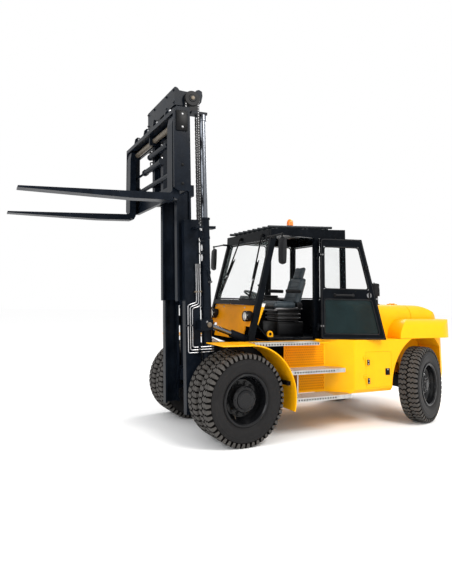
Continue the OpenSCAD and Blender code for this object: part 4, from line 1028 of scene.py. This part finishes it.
# Service door: hinges, paddle lock in a black escutcheon, yellow strip in the seam
p = Piece("satin", "zinc", "yellow")
for z in (0.636, 0.896):
    p.block(axle(-2.094, 1.098, z + 0.002), axle(-2.036, 1.1185, z + 0.078), 0.004)
    for dz in (0.02, 0.06):
        p.bolt(axle(-2.07, 1.1185, z + dz), (0, 1, 0), 0.007, 1)
p.block(axle(-2.497, 1.098, 0.742), axle(-2.411, 1.106, 0.838), 0.01)
p.block(axle(-2.486, 1.104, 0.752), axle(-2.422, 1.1115, 0.806), 0.008)
lock = [(0.0, 0.0), (0.011, 0.0), (0.011, 0.004), (0.0, 0.005)]
p.turned(lock, axle(-2.454, 1.106, 0.822), (0, 1, 0), 16, 1)
seam = ((-2.537, 0.578), (-2.537, 1.082), (-2.033, 1.082), (-2.033, 0.578))
bead(p, [axle(x, 1.0965, z) for x, z in seam], 0.0026, 2, None, 0.008)
p.done("service_door_fittings", "service_door", "satin")

# Side catches of the hood
p = Piece("hose", "satin", "zinc")
for s in (-1, 1):
    for x in (-2.27, -2.95):
        p.block(axle(x - 0.022, s * 0.8, 1.268), axle(x + 0.022, s * 0.816, 1.372), 0.006)
        p.block(axle(x - 0.034, s * 0.8, 1.345), axle(x + 0.034, s * 0.826, 1.362), 0.005, 1)
        p.bolt(axle(x, s * 0.816, 1.3), (0, s, 0), 0.007, 2)
p.done("hood_catches", "hood", "satin")

# Louvres, hoops and lid of the air pre-cleaner, flange and clamp of its pipe
p = Piece("plastic", "hose", "zinc", frame=Matrix.Translation(axle(-2.8, 0.47, 1.7703)))
for k in range(24):
    turn = p.frame @ Matrix.Rotation(math.pi * k / 12, 4, "Z")
    p.block((0.0865, -0.004, 0.165), (0.0915, 0.004, 0.262), 0.0015, 0, turn)
hoop = [(0.087, -0.006), (0.0925, -0.003), (0.0925, 0.003), (0.087, 0.006), (0.087, -0.006)]
for z in (0.15, 0.275, 0.318):
    p.turned(hoop, (0, 0, z), seg=48)
lid = [(0.089, 0.338), (0.08, 0.35), (0.05, 0.356), (0.018, 0.358), (0.018, 0.366), (0.0, 0.366)]
p.turned(lid, seg=48)
flange = [(0.0595, 0.0), (0.085, 0.0), (0.085, 0.01), (0.07, 0.016), (0.0595, 0.016), (0.0595, 0.0)]
p.turned(flange, seg=40, mat=1)
clamp = [(0.0602, 0.085), (0.066, 0.085), (0.066, 0.1), (0.0602, 0.1), (0.0602, 0.085)]
p.turned(clamp, seg=40, mat=2)
p.done("precleaner_louvres", "hood", "plastic")


# Stage, light and camera

# The photograph's size, focal length and optical centre in pixels; the camera's place and turn in degrees
PHOTO_W, PHOTO_H = 452.0, 584.0
FOCAL, CENTRE_X, CENTRE_Y = 500.08, 254.17, 180.41
EYE = (3.208, 7.2106, 1.8272)
EYE_TURN = (28.24, 13.27, 1.33)


def stage():
    """Floor, world, lights and camera."""
    floor = bpy.data.meshes.new("floor")
    r = 60.0
    floor.from_pydata([(-r, -r, 0), (r, -r, 0), (r, r, 0), (-r, r, 0)], [], [(0, 1, 2, 3)])
    f = bpy.data.objects.new("floor", floor)
    bpy.context.collection.objects.link(f)
    floor.materials.append(material("floor", (0.985, 0.985, 0.985), 0.9, vary=0.004, scale=0.3, spec=0.0))
    f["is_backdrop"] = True

    w = bpy.data.worlds.new("studio")
    bpy.context.scene.world = w
    w.use_nodes = True
    sky = w.node_tree.nodes["Background"].inputs
    sky["Color"].default_value = (1.0, 1.0, 1.0, 1)
    sky["Strength"].default_value = 1.0

    def area(name, at, to, size, power, tint=(1, 1, 1)):
        d = bpy.data.lights.new(name, "AREA")
        d.shape = "DISK"
        d.size = size
        d.energy = power
        d.color = tint
        o = bpy.data.objects.new(name, d)
        bpy.context.collection.objects.link(o)
        o.location = at
        o.rotation_euler = (Vector(to) - Vector(at)).to_track_quat("-Z", "Y").to_euler()
        o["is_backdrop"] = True

    area("key", (-2.5, 9.0, 9.0), (-0.5, 0, 1.5), 5.0, 900, (1.0, 0.98, 0.95))
    area("fill", (9.0, 4.0, 5.0), (0.5, 0, 2.0), 6.0, 350, (0.96, 0.98, 1.0))
    area("rim", (-7.0, -6.0, 8.0), (-1.0, 0, 2.0), 5.0, 350)

    yaw, pitch, roll = (math.radians(a) for a in EYE_TURN)
    fwd = Vector((-math.sin(yaw) * math.cos(pitch), -math.cos(yaw) * math.cos(pitch), math.sin(pitch)))
    r0 = Vector((-math.cos(yaw), math.sin(yaw), 0))
    u0 = r0.cross(fwd)
    right = math.cos(roll) * r0 + math.sin(roll) * u0
    up = -math.sin(roll) * r0 + math.cos(roll) * u0
    rot = Matrix((right, up, -fwd)).transposed()
    cam = bpy.data.cameras.new("camera")
    cam.sensor_fit = "AUTO"
    cam.sensor_width = 36.0
    cam.lens = FOCAL * cam.sensor_width / PHOTO_H
    cam.shift_x = (PHOTO_W / 2 - CENTRE_X) / PHOTO_H
    cam.shift_y = (CENTRE_Y - PHOTO_H / 2) / PHOTO_H
    cam.clip_end = 200.0
    c = bpy.data.objects.new("camera", cam)
    bpy.context.collection.objects.link(c)
    c.matrix_world = Matrix.Translation(axle(*EYE)) @ rot.to_4x4()
    bpy.context.scene.camera = c


stage()
bpy.context.scene.view_settings.view_transform = "Standard"

lo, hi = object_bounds()
